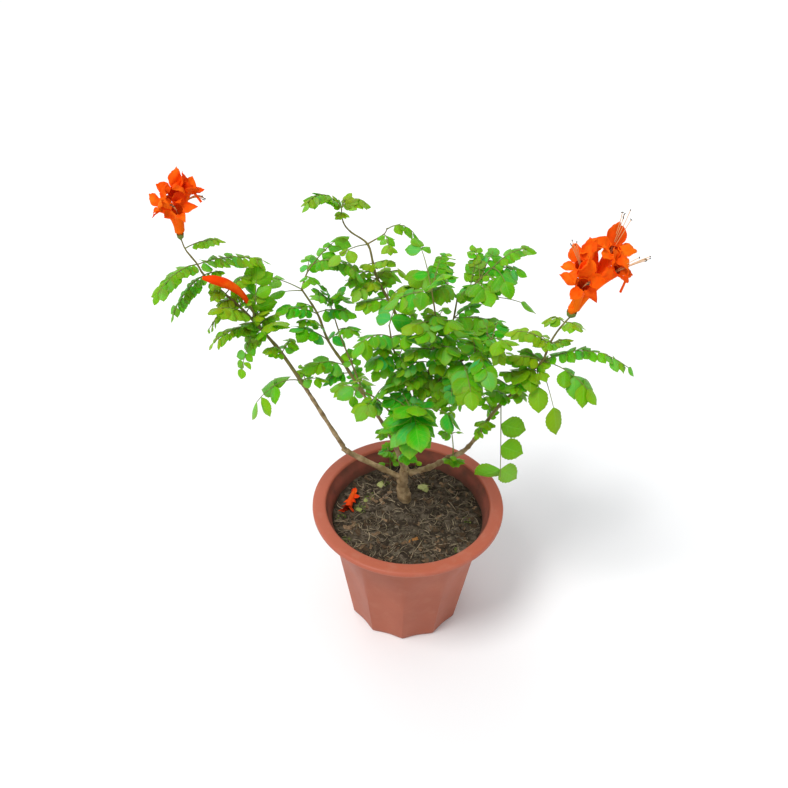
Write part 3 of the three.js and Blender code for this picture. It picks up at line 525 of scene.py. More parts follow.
# Lights, in metres: the key light's way and spread in degrees, and the rim light
KEY_PLACE = (-1.2, -1.4, 2.6)
KEY_WAY = Vector((0.42, 0.34, -1))
KEY_SOFTNESS = 22
RIM_LIGHT_PLACE = (-0.7, 1.2, 1.6)
RIM_LIGHT_AIM = Vector((0, 0, 0.45))
RIM_LIGHT_SIZE = 1.2
SKY_COLOUR = (0.96, 0.98, 1.0)
FLOOR_SIZE = 16


# Plain helpers

def chance(piece, draw):
    """A repeatable draw between 0 and 1 for a numbered piece."""
    wave = math.sin(piece * 12.9898 + draw * 78.233) * 43758.5453
    return wave - math.floor(wave)


def between(low, high, share):
    return low + (high - low) * share


def smooth_step(value):
    value = min(max(value, 0), 1)
    return value * value * (3 - 2 * value)


def clear_selection():
    if bpy.context.object and bpy.context.object.mode != "OBJECT":
        bpy.ops.object.mode_set(mode="OBJECT")
    bpy.ops.object.select_all(action="DESELECT")


def take(piece):
    """Makes a piece the only one selected, and the active one."""
    clear_selection()
    piece.select_set(True)
    bpy.context.view_layer.objects.active = piece


def named(name):
    """Names the piece that an operator has just made."""
    piece = bpy.context.object
    piece.name = piece.data.name = name
    return piece


def pick(piece, test):
    """In edit mode, selects the vertices that pass a test of their place."""
    shape = bmesh.from_edit_mesh(piece.data)
    for part in (shape.faces, shape.edges, shape.verts):
        for one in part:
            one.select = False
    for corner in shape.verts:
        corner.select = test(corner.co)
    shape.select_flush(True)
    bmesh.update_edit_mesh(piece.data)


def edit(piece):
    """Opens a piece in edit mode with all of it selected."""
    take(piece)
    bpy.ops.object.mode_set(mode="EDIT")
    bpy.ops.mesh.select_all(action="SELECT")


def leave_edit():
    bpy.ops.object.mode_set(mode="OBJECT")


def close_up(piece):
    """Merges doubles and points every face outwards."""
    edit(piece)
    bpy.ops.mesh.remove_doubles(threshold=0.002 * MM)
    bpy.ops.mesh.normals_make_consistent(inside=False)
    leave_edit()


def thicken(piece, thickness):
    """Gives a sheet its thickness, inwards."""
    wall = piece.modifiers.new("thickness", "SOLIDIFY")
    wall.thickness = thickness
    wall.offset = -1
    return wall


def apply_modifiers(piece):
    take(piece)
    for modifier in list(piece.modifiers):
        bpy.ops.object.modifier_apply(modifier=modifier.name)


def settle(piece):
    """Moves a piece's place, turn and scale into its mesh."""
    take(piece)
    bpy.ops.object.transform_apply(location=True, rotation=True, scale=True)


def smooth(piece, angle):
    take(piece)
    bpy.ops.object.shade_smooth_by_angle(angle=math.radians(angle))


def join(pieces, name):
    clear_selection()
    for piece in pieces:
        piece.select_set(True)
    bpy.context.view_layer.objects.active = pieces[0]
    if len(pieces) > 1:
        bpy.ops.object.join()
    return named(name)


def give(piece, *materials):
    piece.data.materials.clear()
    for material in materials:
        piece.data.materials.append(material)


def finish_piece(piece, slot, *nodes):
    """Lets a finished piece ride on the plant's one body, in place of its nodes."""
    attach(piece, "root")
    if nodes:
        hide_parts(*nodes)


def tint_mesh(mesh, tint):
    """Stores one tint on every vertex: the three numbers that its material reads."""
    layer = mesh.color_attributes.get("tint")
    if layer is None:
        layer = mesh.color_attributes.new(name="tint", type="FLOAT_COLOR", domain="POINT")
    layer.data.foreach_set("color", [*tint, 1] * len(mesh.vertices))


def tint_by_place(piece, rule):
    """Stores a tint on every vertex by a rule of its place."""
    layer = piece.data.color_attributes.new(name="tint", type="FLOAT_COLOR", domain="POINT")
    for corner, stored in zip(piece.data.vertices, layer.data):
        stored.color = (*rule(corner.co), 1)


def dress(piece, material_name, angle=60, tint=None):
    """Gives a piece its one tint, if it has one, its material and its smooth faces."""
    if tint:
        tint_mesh(piece.data, tint)
    give(piece, bpy.data.materials[material_name])
    smooth(piece, angle)
    return piece


def copy_of(model, place, tint):
    """A copy of a model with its own mesh, put in its place and tinted."""
    mesh = model.data.copy()
    mesh.transform(place)
    tint_mesh(mesh, tint)
    copy = bpy.data.objects.new(model.name + "-copy", mesh)
    bpy.context.collection.objects.link(copy)
    return copy


def remove(pieces):
    for piece in pieces:
        bpy.data.objects.remove(piece)


# Lines

def smooth_route(points):
    """A smooth curve through points, as a function of a share from 0 to 1."""
    stops = [Vector(point) for point in points]

    def point_at(share):
        place = share * (len(stops) - 1)
        number = min(int(place), len(stops) - 2)
        rest = place - number
        here, after = stops[number], stops[number + 1]
        before = stops[number - 1] if number > 0 else 2 * here - after
        beyond = stops[number + 2] if number + 2 < len(stops) else 2 * after - here
        lead, trail = (after - before) / 2, (beyond - here) / 2
        bend = -3 * here + 3 * after - 2 * lead - trail
        twist = 2 * here - 2 * after + lead + trail
        return here + lead * rest + bend * rest ** 2 + twist * rest ** 3

    return point_at


def bent_line(first, middle, last):
    """A quadratic curve from first to last, drawn towards middle."""
    def point_at(share):
        rest = 1 - share
        return rest * rest * first + 2 * rest * share * middle + share * share * last

    def tangent_at(share):
        return ((1 - share) * (middle - first) + share * (last - middle)).normalized()

    return point_at, tangent_at


def tubes(name, runs, sides, caps=True):
    """Round tubes along runs of (point, radius) pairs, in millimetres, as one mesh."""
    clear_selection()
    bpy.ops.curve.primitive_nurbs_path_add(location=(0, 0, 0))
    piece = named(name)
    curve = piece.data
    curve.splines.clear()
    for run in runs:
        spline = curve.splines.new("POLY")
        spline.points.add(len(run) - 1)
        for knot, (point, radius) in zip(spline.points, run):
            knot.co = (*(Vector(point) * MM), 1)
            knot.radius = radius
    curve.bevel_depth = MM
    curve.bevel_resolution = (sides - 4) // 2
    curve.use_fill_caps = caps
    curve.resolution_u = 1
    bpy.ops.object.convert(target="MESH")
    piece = named(name)
    close_up(piece)
    return piece


def stem_run(part, steps, slimness=1.0, wobble=0.0):
    """The points and radii of a stem, with swollen knots and a slight wobble."""
    point_at = smooth_route(part["points"])
    run = []
    for step in range(steps + 1):
        share = step / steps
        along = between(part["start"], part["stop"], share)
        point = point_at(along)
        radius = between(part["thick"], part["thin"], share) * slimness * (1 - 0.2 * share)
        knot = max(0, math.cos(share * steps / 4 * 2 * math.pi)) ** 6
        radius *= 1 + part["knobs"] * 1.6 * knot
        radius *= 1 + wobble * noise.noise(point * 0.13)
        run.append((point, radius))
    return run


# Shader groups used by more than one material

def group_of(name, inputs, outputs):
    """A shader group of numbers: the group, its inputs inside and its outputs inside."""
    group = bpy.data.node_groups.new(name, "ShaderNodeTree")
    for label, value in inputs.items():
        socket = group.interface.new_socket(name=label, in_out="INPUT",
                                            socket_type="NodeSocketFloat")
        socket.default_value = value
    for label in outputs:
        group.interface.new_socket(name=label, in_out="OUTPUT", socket_type="NodeSocketFloat")
    return group, group.nodes.new("NodeGroupInput").outputs, group.nodes.new("NodeGroupOutput")


def fill(tree, made, inputs):
    """Fills a node's inputs or links them, by name or number."""
    for key, value in inputs.items():
        socket = made.inputs[int(key) if key.isdigit() else key.replace("_", " ")]
        if isinstance(value, bpy.types.NodeSocket):
            tree.links.new(value, socket)
        else:
            socket.default_value = value


def node(tree, kind, **values):
    """A shader node with its settings, and its inputs where a label starts with in_."""
    made = tree.nodes.new(kind)
    for label, value in values.items():
        if not label.startswith("in_"):
            setattr(made, label, value)
    fill(tree, made, {label[3:]: value for label, value in values.items()
                      if label.startswith("in_")})
    return made


def worked_out(tree, operation, *values):
    """What a math node makes of its values, each a number or a socket."""
    return node(tree, "ShaderNodeMath", operation=operation,
                **{f"in_{number}": value for number, value in enumerate(values)}).outputs[0]


def ranged(tree, value, low, high, start=0.0, stop=1.0):
    return node(tree, "ShaderNodeMapRange", in_Value=value, in_From_Min=low, in_From_Max=high,
                in_To_Min=start, in_To_Max=stop).outputs["Result"]


def faint(tree, mask, most):
    """A mask that reaches only a share."""
    return ranged(tree, mask, 0.0, 1.0, 0.0, most)


def mottle_group():
    """Soft patches: a mask between 0 and 1 that follows the surface's place."""
    group, given, made = group_of(
        "Mottle", {"Scale": 40, "Detail": 4, "Low": 0.4, "High": 0.6}, ["Mask"])
    places = node(group, "ShaderNodeTexCoord")
    patches = node(group, "ShaderNodeTexNoise", noise_dimensions="3D",
                   in_Vector=places.outputs["Object"], in_Scale=given["Scale"],
                   in_Detail=given["Detail"])
    fill(group, made, {"Mask": ranged(group, patches.outputs["Fac"], given["Low"],
                                      given["High"])})
    return group


def vein_group():
    """Leaflet veins from the leaflet's own UV map: 1 on the midrib and side veins."""
    group, given, made = group_of("Veins", {"Count": 7, "Slant": 0.45},
                                  ["Veins", "Along", "Aside"])
    uv = node(group, "ShaderNodeUVMap", uv_map="UVMap")
    parts = node(group, "ShaderNodeSeparateXYZ", in_Vector=uv.outputs["UV"]).outputs
    aside = worked_out(group, "ABSOLUTE", worked_out(group, "SUBTRACT", parts["X"], 0.5))
    rib = ranged(group, aside, 0.0, 0.05, 1.0, 0.0)
    slant = worked_out(group, "MULTIPLY", aside, given["Slant"])
    place = worked_out(group, "SUBTRACT", parts["Y"], slant)
    turns = worked_out(group, "MULTIPLY", place, given["Count"])
    side = ranged(group, worked_out(group, "PINGPONG", turns, 0.5), 0.0, 0.1, 0.7, 0.0)
    fill(group, made, {"Veins": worked_out(group, "MAXIMUM", rib, side),
                       "Along": parts["Y"], "Aside": aside})
    return group


def placed_group(tree, name, maker, **values):
    """The outputs of a shader group, built once, in a material with its own values."""
    made = node(tree, "ShaderNodeGroup", node_tree=bpy.data.node_groups.get(name) or maker())
    fill(tree, made, values)
    return made.outputs


def mottle(tree, **values):
    return placed_group(tree, "Mottle", mottle_group, **values)["Mask"]


def mixed(tree, mask, first, second):
    """A colour between two, each a colour or a socket."""
    mix = node(tree, "ShaderNodeMix", data_type="RGBA", in_Factor=mask)
    for name, value in (("A", first), ("B", second)):
        socket = next(one for one in mix.inputs if one.name == name and one.type == "RGBA")
        if isinstance(value, bpy.types.NodeSocket):
            tree.links.new(value, socket)
        else:
            socket.default_value = (*value, 1)
    return mix.outputs["Result"]


def coat(made, **inputs):
    """Fills or links inputs of a material's shader."""
    fill(made.node_tree, made.node_tree.nodes["Principled BSDF"], inputs)
    return made


def material_of(name, roughness, sheen=0.25):
    """A new material with a weak mirror-like part, and its tree."""
    made = bpy.data.materials.new(name)
    made.use_nodes = True
    coat(made, Roughness=roughness, Specular_IOR_Level=sheen)
    return made, made.node_tree


def bumps(tree, height, strength, distance):
    """Normals that are raised by a height."""
    return node(tree, "ShaderNodeBump", in_Strength=strength, in_Distance=distance,
                in_Height=height).outputs["Normal"]


def tint_parts(tree):
    """The three numbers of the tint stored on a piece."""
    stored = node(tree, "ShaderNodeAttribute", attribute_type="GEOMETRY", attribute_name="tint")
    parts = node(tree, "ShaderNodeSeparateColor", in_Color=stored.outputs["Color"]).outputs
    return parts["Red"], parts["Green"], parts["Blue"]


def height_of_place(tree):
    places = node(tree, "ShaderNodeTexCoord")
    return node(tree, "ShaderNodeSeparateXYZ", in_Vector=places.outputs["Object"]).outputs["Z"]


def pot_material(settings):
    """Reddish-brown plastic, paler and dustier at the rim."""
    made, tree = material_of("pot-plastic", 0.48)
    wall = mixed(tree, mottle(tree, Scale=14.0, Low=0.35, High=0.7), settings.wall_colour,
                 settings.wall_shade)
    faded = ranged(tree, height_of_place(tree), 0.178, 0.188)
    coloured = mixed(tree, faded, wall, settings.rim_colour)
    dust = mottle(tree, Scale=60.0, Detail=6.0, Low=0.52, High=0.8)
    grain = mottle(tree, Scale=500.0, Detail=2.0, Low=0.3, High=0.7)
    return coat(made, Base_Color=mixed(tree, faint(tree, dust, 0.22), coloured,
                                       settings.dust_colour),
                Roughness=ranged(tree, dust, 0.0, 1.0, 0.42, 0.6),
                Normal=bumps(tree, grain, 0.12, 0.0004))


def pot_inside_material(settings):
    """The pot's inside, painted darker than the wall as painted shade, and stained by soil."""
    made, tree = material_of("pot-inside", 0.6)
    stained = ranged(tree, height_of_place(tree), 0.160, 0.176)
    # Painted shade: above the soil stain, the inside takes a colour darker than the outer wall,
    # for the shade inside the pot
    wall = mixed(tree, stained, settings.soil_stain, settings.inside_colour)
    return coat(made, Base_Color=mixed(tree, mottle(tree, Scale=50.0, Low=0.45, High=0.75),
                                       wall, settings.soil_stain))


def soil_material(settings):
    """Dark moist soil with paler dry crumbs."""
    made, tree = material_of("soil-mix", 0.95, 0.05)
    dry = mottle(tree, Scale=90.0, Detail=8.0, Low=0.45, High=0.72)
    grain = mottle(tree, Scale=260.0, Detail=8.0, Low=0.2, High=0.8)
    return coat(made, Base_Color=mixed(tree, dry, settings.soil_colour, settings.dry_colour),
                Normal=bumps(tree, grain, 0.9, 0.002))


def litter_material(name):
    """A loose bit's colour, drawn between its two by its stored tint."""
    made, tree = material_of(name, 0.9, 0.05)
    dark, light = LITTER_COLOURS[name]
    _, _, draw = tint_parts(tree)
    base = mixed(tree, worked_out(tree, "POWER", draw, 1.8), dark, light)
    patches = faint(tree, mottle(tree, Scale=300.0, Low=0.35, High=0.7), 0.5)
    return coat(made, Base_Color=mixed(tree, patches, base, dark))


def bark_material(settings):
    """Brown bark with paler corky patches."""
    made, tree = material_of("bark-skin", 0.85)
    patches = mottle(tree, Scale=110.0, Detail=6.0, Low=0.4, High=0.66)
    grain = mottle(tree, Scale=320.0, Detail=6.0, Low=0.2, High=0.8)
    return coat(made, Base_Color=mixed(tree, patches, settings.bark_colour,
                                       settings.cork_colour),
                Normal=bumps(tree, grain, 0.7, 0.0008))


def shoot_material(settings):
    """Young stems, brown or green by the second number of their tint."""
    made, tree = material_of("shoot-stem", 0.6)
    _, young, _ = tint_parts(tree)
    base = mixed(tree, young, settings.stem_colour, settings.young_stem_colour)
    patches = faint(tree, mottle(tree, Scale=160.0, Low=0.4, High=0.7), 0.5)
    return coat(made, Base_Color=mixed(tree, patches, base, settings.bark_colour))


def leaf_material(settings, underside=False):
    """A leaflet's colour from its painted light and shade, yellowness and free draw, with a
    painted sheen and veins.
    """
    made, tree = material_of("leaf-underside" if underside else "leaf-top",
                             0.6 if underside else 0.4, 0.06 if underside else 0.15)
    bright, yellow, draw = tint_parts(tree)
    # Painted sheen: by its free draw a leaflet leans to a pale bluish green that stands in for the
    # sky's reflection on it
    sheened = mixed(tree, ranged(tree, draw, 0.4, 0.85), settings.deep_green, settings.sheen_green)
    green = mixed(tree, yellow, sheened, settings.yellow_green)
    # Painted shade: darker copies of the greens. The tint's first number, drawn at random for each
    # leaflet, sets how far it leans from painted shade to full painted light
    shaded = mixed(tree, yellow, [part * 0.75 for part in settings.deep_green],
                   [part * 0.78 for part in settings.yellow_green])
    lit = mixed(tree, bright, shaded, green)
    if underside:
        lit = mixed(tree, ranged(tree, bright, -1.0, 0.0, 0.4, 0.45), lit, settings.pale_green)
    veins = placed_group(tree, "Veins", vein_group, Count=6.0, Slant=0.5)
    veined = mixed(tree, faint(tree, veins["Veins"], 0.4), lit, settings.pale_green)
    blotch = faint(tree, mottle(tree, Scale=120.0, Low=0.5, High=0.75), 0.3)
    blotched = mixed(tree, blotch, veined, settings.yellow_green)
    rim = worked_out(tree, "MAXIMUM", ranged(tree, veins["Aside"], 0.28, 0.5),
                     ranged(tree, veins["Along"], 0.72, 1.0))
    return coat(made, Base_Color=mixed(tree, faint(tree, rim, 0.6), blotched,
                                       settings.edge_colour),
                Normal=bumps(tree, veins["Veins"], 0.35, 0.0006), **LEAF_GLOW)


def petal_material(settings):
    """Orange to red by the tint's redness, with darker parts, paler patches of painted highlight
    and withered parts.
    """
    made, tree = material_of("petal-skin", 0.6, 0.03)
    red, dark, withered = tint_parts(tree)
    base = mixed(tree, red, settings.tube_colour, settings.lobe_colour)
    deep = mixed(tree, dark, base, settings.deep_colour)
    patches = faint(tree, mottle(tree, Scale=90.0, Low=0.5, High=0.7), 0.45)
    patched = mixed(tree, patches, deep, settings.lobe_colour)
    # Painted highlights: pale orange patches that stand in for light falling on the petals
    light = faint(tree, mottle(tree, Scale=55.0, Low=0.48, High=0.72), 0.6)
    fresh = mixed(tree, light, patched, settings.painted_highlight_colour)
    grain = mottle(tree, Scale=420.0, Detail=3.0, Low=0.2, High=0.8)
    return coat(made, Base_Color=mixed(tree, withered, fresh, settings.withered_colour),
                Normal=bumps(tree, grain, 0.25, 0.0005))


def plain_material(name, colour, roughness):
    made, _ = material_of(name, roughness)
    return coat(made, Base_Color=(*colour, 1))


def material(name, maker, *arguments):
    """A material that is made once and then shared."""
    return bpy.data.materials.get(name) or maker(*arguments)


# Pot and soil

def flute_share(height):
    return smooth_step((FLUTE_END - height) / 60)


def wall_radius(height):
    return between(BASE_RADIUS, WALL_TOP_RADIUS, height / WALL_TOP_HEIGHT)


def ring_stack(name, rings):
    """A tower of rings of (radius, height, flute share), drawn up one from the other."""
    sides = FLUTE_COUNT * STEPS_PER_FLUTE
    clear_selection()
    radius, height, _ = rings[0]
    bpy.ops.mesh.primitive_circle_add(
        vertices=sides, radius=radius * MM, fill_type="NOTHING",
        location=(0, 0, height * MM), rotation=(0, 0, math.radians(FLUTE_TURN - 90)))
    piece = named(name)
    settle(piece)
    edit(piece)
    for (before, low, _), (after, high, _) in zip(rings, rings[1:]):
        bpy.ops.mesh.extrude_edges_move(
            TRANSFORM_OT_translate={"value": (0, 0, (high - low) * MM)})
        share = after / before
        bpy.ops.transform.resize(value=(share, share, 1), center_override=(0, 0, high * MM))
    leave_edit()
    press_flutes(piece, rings, sides)
    return piece


def press_flutes(piece, rings, sides):
    """Draws in the vertices between the flutes' raised edges, ring by ring."""
    edit(piece)
    turn = math.radians(FLUTE_TURN)
    for number, (radius, height, share) in enumerate(rings):
        if share == 0:
            continue
        shape = bmesh.from_edit_mesh(piece.data)
        shape.verts.ensure_lookup_table()
        steps = {}
        for corner in shape.verts[number * sides:(number + 1) * sides]:
            phase = (math.atan2(corner.co.y, corner.co.x) - turn) / (2 * math.pi) * FLUTE_COUNT
            step = round(phase * STEPS_PER_FLUTE) % STEPS_PER_FLUTE
            steps.setdefault(min(step, STEPS_PER_FLUTE - step), set()).add(corner.index)
        for step, corners in steps.items():
            if step == 0:
                continue
            hollow = math.sin(math.pi * step / STEPS_PER_FLUTE)
            inward = (radius - FLUTE_DEPTH * share * hollow) / radius
            shape = bmesh.from_edit_mesh(piece.data)
            for corner in shape.verts:
                corner.select = corner.index in corners
            shape.select_flush(True)
            bmesh.update_edit_mesh(piece.data)
            bpy.ops.transform.resize(value=(inward, inward, 1),
                                     center_override=(0, 0, height * MM))
    leave_edit()


def cap_ring(piece, height, radius):
    """Fills the ring at a height whose radius is nearest to one: a base, floor or top."""
    take(piece)
    at_height = [corner.co.xy.length for corner in piece.data.vertices
                 if abs(corner.co.z - height * MM) < 0.01 * MM]
    nearest = min(at_height, key=lambda reach: abs(reach - radius * MM))
    slack = (FLUTE_DEPTH + 1) * MM if radius > FLUTE_DEPTH * 4 else 0.5 * MM
    bpy.ops.object.mode_set(mode="EDIT")
    pick(piece, lambda place: abs(place.z - height * MM) < 0.01 * MM
         and abs(place.xy.length - nearest) < slack)
    bpy.ops.mesh.edge_face_add()
    leave_edit()


def pot_rings():
    outside = [(wall_radius(height) - inset, height, flute_share(height)) for height, inset in [
        (0, 2), (0.7, 0.7), (2, 0), (9, 0), (30, 0), (52, 0), (75, 0), (95, 0), (112, 0),
        (125, 0), (137, 0), (150, 0), (160, 0), (170, 0), (176, 0),
    ]]
    rim = [
        (107, 178.5, 0), (110, 180.6, 0), (114, 181.6, 0), (RIM_RADIUS - 3, 182, 0),
        (RIM_RADIUS - 1, 182.4, 0), (RIM_RADIUS - 0.2, 183.4, 0), (RIM_RADIUS, 185, 0),
        (RIM_RADIUS - 0.1, 187.2, 0), (RIM_RADIUS - 0.8, 188.8, 0), (RIM_RADIUS - 2.2, 189.7, 0),
        (RIM_RADIUS - 4.5, POT_HEIGHT, 0), (116, POT_HEIGHT - 0.1, 0), (111, POT_HEIGHT, 0),
        (109, 189.6, 0), (107.8, 188.5, 0), (107.2, 186.5, 0), (106.2, 182, 0), (103.4, 177, 0),
    ]
    inside = [(wall_radius(height) - WALL_THICKNESS, height, flute_share(height)) for height in
              (172, 160, 150, 137, 125, 100, 60, 20, FLOOR_THICKNESS)]
    return outside + rim + inside


def model_pot(settings):
    pot = ring_stack("fluted-pot", pot_rings())
    cap_ring(pot, 0, BASE_RADIUS)
    cap_ring(pot, FLOOR_THICKNESS, BASE_RADIUS)
    close_up(pot)
    holes = []
    for number in range(DRAIN_HOLE_COUNT):
        angle = 2 * math.pi * (number + 0.5) / DRAIN_HOLE_COUNT
        bpy.ops.mesh.primitive_cylinder_add(
            vertices=20, radius=DRAIN_HOLE_RADIUS * MM, depth=4 * FLOOR_THICKNESS * MM,
            location=(DRAIN_HOLE_DISTANCE * MM * math.cos(angle),
                      DRAIN_HOLE_DISTANCE * MM * math.sin(angle), 0))
        holes.append(bpy.context.object)
    cutter = join(holes, "drain-holes")
    cut = pot.modifiers.new("drain holes", "BOOLEAN")
    cut.object = cutter
    cut.solver = "EXACT"
    apply_modifiers(pot)
    remove([cutter])
    give(pot, material("pot-plastic", pot_material, settings),
         material("pot-inside", pot_inside_material, settings))
    for face in pot.data.polygons:
        inward = face.normal.x * face.center.x + face.normal.y * face.center.y < -0.02
        face.material_index = 1 if inward and face.center.z < 0.186 else 0
    smooth(pot, 32)
    return pot


def soil_top(x, y):
    """The height of the soil's rough top at a place, all in millimetres."""
    waves = math.sin(x / 13 + 1.7) * math.cos(y / 11) + 0.6 * math.sin(x / 6.1 - y / 7.3)
    mound = 3.5 * math.exp(-((x - TRUNK_FOOT[0]) ** 2 + (y - TRUNK_FOOT[1]) ** 2) / 900)
    flat = (RESTING_RADIUS - (Vector((x, y)) - RESTING_SPOT).length) / 8
    rough = SOIL_HEIGHT + SOIL_RELIEF * waves * 0.7 + mound
    return between(rough, RESTING_HEIGHT, min(max(flat, 0), 1))


def model_soil(settings):
    inset = WALL_THICKNESS + GAP
    rings = [(wall_radius(height) - inset, height, flute_share(height))
             for height in (FLOOR_THICKNESS + GAP, 20, 60, 100, 125, 137, 150)]
    edge = wall_radius(SOIL_HEIGHT) - inset
    rings.append((edge - 0.6, SOIL_HEIGHT - 3, 0))
    top_count = settings.top_rings
    rings += [(edge * (1 - number / top_count) ** 0.85 * 0.985 + 1.5, SOIL_HEIGHT, 0)
              for number in range(top_count)]
    soil = ring_stack("soil-body", rings)
    cap_ring(soil, FLOOR_THICKNESS + GAP, BASE_RADIUS)
    cap_ring(soil, SOIL_HEIGHT, 0)
    for corner in soil.data.vertices:
        if corner.co.z > (SOIL_HEIGHT - 1) * MM:
            x, y = corner.co.x / MM, corner.co.y / MM
            coarse = noise.noise(Vector((x, y, 3)) * 0.22)
            grain = coarse + 0.6 * noise.noise(Vector((x, y, 9)) * 0.6)
            corner.co.z = (soil_top(x, y) + settings.roughness * grain) * MM
    close_up(soil)
    give(soil, material("soil-mix", soil_material, settings))
    smooth(soil, 60)
    return soil


# Loose bits on the soil, each modelled once and copied

def model_crumb():
    bpy.ops.mesh.primitive_ico_sphere_add(subdivisions=1, radius=1)
    crumb = named("crumb-model")
    edit(crumb)
    bpy.ops.transform.vertex_random(offset=0.3, seed=3)
    leave_edit()
    return crumb


def model_chip():
    bpy.ops.mesh.primitive_cube_add(size=2, scale=(1, 0.45, 0.14))
    chip = named("chip-model")
    settle(chip)
    edit(chip)
    bpy.ops.mesh.subdivide(number_cuts=1)
    bpy.ops.transform.vertex_random(offset=0.16, seed=5)
    leave_edit()
    return chip


def model_strand(name, bend, thickness):
    """A thin curved strand along X, reaching from -1 to 1."""
    run = []
    for step in range(6):
        share = step / 5 * 2 - 1
        place = Vector((share, bend * (share * share - 0.5), 0.2 * bend * math.sin(3 * share)))
        run.append((place / MM, (1 - 0.5 * share * share) * thickness / MM))
    return tubes(name, [run], 4)


def lie_on_soil(x, y, size, flatness, turn, tilt, sink):
    """The place of a bit that lies on the soil: half sunk, turned and a little tilted."""
    place = Matrix.Translation(Vector((x, y, soil_top(x, y) - sink)) * MM)
    turned = Matrix.Rotation(turn, 4, "Z") @ Matrix.Rotation(tilt, 4, "X")
    return place @ turned @ Matrix.Diagonal((size * MM, size * MM, size * flatness * MM, 1))


def scatter(name, models, count, seed, sizes, flatness, sink, inner=0.0, tilt=0.35):
    """Copies of models over the soil, drawn by a repeatable rule."""
    edge = wall_radius(SOIL_HEIGHT) - LITTER_MARGIN
    copies = []
    for number in range(count):
        draws = [chance(number + seed, draw) for draw in range(8)]
        reach = edge * math.sqrt(between(inner, 1, draws[0]))
        angle = 2 * math.pi * draws[1]
        x, y = reach * math.cos(angle), reach * math.sin(angle)
        if ((Vector((x, y)) - RESTING_SPOT).length < CLEAR_OF_SPOT
                or math.hypot(x - TRUNK_FOOT[0], y - TRUNK_FOOT[1]) < CLEAR_OF_TRUNK):
            continue
        size = between(*sizes, draws[2] ** 1.6)
        place = lie_on_soil(x, y, size, flatness, 2 * math.pi * draws[3],
                            tilt * (2 * draws[4] - 1), sink * size)
        copies.append(copy_of(models[number % len(models)], place, (draws[5], draws[6], draws[7])))
    return join(copies, name)


def clumps(name, model, patches, seed, sizes):
    """Round tufts of small bits at given places on the soil."""
    copies = []
    for x, y, radius, count in patches:
        for number in range(count):
            seed += 1
            angle, reach = 2 * math.pi * chance(seed, 1), radius * math.sqrt(chance(seed, 2))
            size = between(*sizes, chance(seed, 3))
            spot = (x + reach * math.cos(angle), y + reach * math.sin(angle))
            place = lie_on_soil(*spot, size, 0.8, 2 * math.pi * chance(seed, 4), 0.3,
                                0.2 * size)
            copies.append(copy_of(model, place, (0, 0, chance(seed, 5))))
    return join(copies, name)


def laid(name, model, places, tilt, sink):
    """Copies of a model at given places on the soil."""
    return join([copy_of(model, lie_on_soil(x, y, length, 1, math.radians(turn), tilt, sink),
                         (0, 0, bright)) for x, y, length, turn, bright in places], name)


# Wood, shoots and leaves

def leaf_line(base, row):
    """The arched line of a leaf's stalk, and the way across it."""
    _, heading, reach, rise, _, _, arch = row
    heading = math.radians(heading)
    outward = Vector((math.cos(heading), math.sin(heading), 0))
    tip = base + outward * reach + UP * rise
    span = math.hypot(reach, rise)
    middle = base.lerp(tip, 0.5) + UP * arch * span
    point_at, tangent_at = bent_line(base, middle, tip)
    return point_at, tangent_at, Vector((-outward.y, outward.x, 0)), span * (1 + 0.4 * arch)


def model_leaflet(name, fold, curl, twist, thickness):
    """A toothed leaflet of unit length along Y, domed, curled and thin."""
    clear_selection()
    rows = len(TOOTHED_EDGE) - 1
    bpy.ops.mesh.primitive_grid_add(x_subdivisions=4, y_subdivisions=rows, size=2)
    leaflet = named(name)
    edit(leaflet)
    for number, (along, width) in enumerate(TOOTHED_EDGE):
        level = -1 + 2 * number / rows
        half = width * BLADE_WIDTH / 2
        pick(leaflet, lambda place: abs(place.y - level) < 0.01 and abs(place.z) < 0.5)
        bpy.ops.transform.resize(value=(half, 1, 1), center_override=(0, level, 0))
        for column, share in ((1, 1.0), (0.5, 0.3)):
            ripple = 0.012 * math.sin(11 * along + 2 * fold) * share
            pick(leaflet, lambda place: abs(place.y - level) < 0.01 and place.z < 0.5
                 and abs(abs(place.x) - column * half) < 0.2 * half)
            bpy.ops.transform.translate(
                value=(0, 0.05 * width * share, -fold * width * share + ripple))
        pick(leaflet, lambda place: abs(place.y - level) < 0.06 and place.z < 0.5)
        bpy.ops.transform.rotate(value=twist * (along - 0.4), orient_axis="Y",
                                 center_override=(0, level, 0))
        bpy.ops.transform.translate(value=(0, along - level, -curl * along * along + LIFT))
    bpy.ops.mesh.select_all(action="SELECT")
    bpy.ops.transform.translate(value=(0, 0, -LIFT))
    leave_edit()
    thick = thicken(leaflet, thickness)
    thick.material_offset = 1
    thick.material_offset_rim = 0
    give(leaflet, bpy.data.materials["leaf-top"], bpy.data.materials["leaf-underside"])
    apply_modifiers(leaflet)
    smooth(leaflet, 50)
    return leaflet


def blade_place(start, forward, upward, length, width):
    """Where a blade of unit length goes, with its own sideways, forward and upward."""
    sideways = forward.cross(upward).normalized()
    normal = sideways.cross(forward)
    turn = Matrix((sideways, forward, normal)).transposed().to_4x4()
    sizes = Matrix.Diagonal((width * MM, length * MM, length * MM, 1))
    return Matrix.Translation(start * MM) @ turn @ sizes


def pair_shares(pairs, axis, size):
    """Where a leaf's pairs sit along its axis, close together on a leaf with many pairs."""
    if pairs == 0:
        return []
    if pairs < 0:
        return even_shares(FIRST_PAIR, -pairs)
    strip = pairs >= STRIP_PAIRS
    first = STRIP_FIRST_PAIR if strip else FIRST_PAIR
    spacing = STRIP_SPACING if strip else PAIR_SPACING
    fitting = round(axis * (LAST_PAIR - first) / (spacing * size)) + 1
    return even_shares(first, min(max(pairs, fitting), MOST_STRIP_PAIRS if strip else MOST_PAIRS))


def even_shares(first, count):
    if count == 1:
        return [ONLY_PAIR]
    return [between(first, LAST_PAIR, pair / (count - 1)) for pair in range(count)]


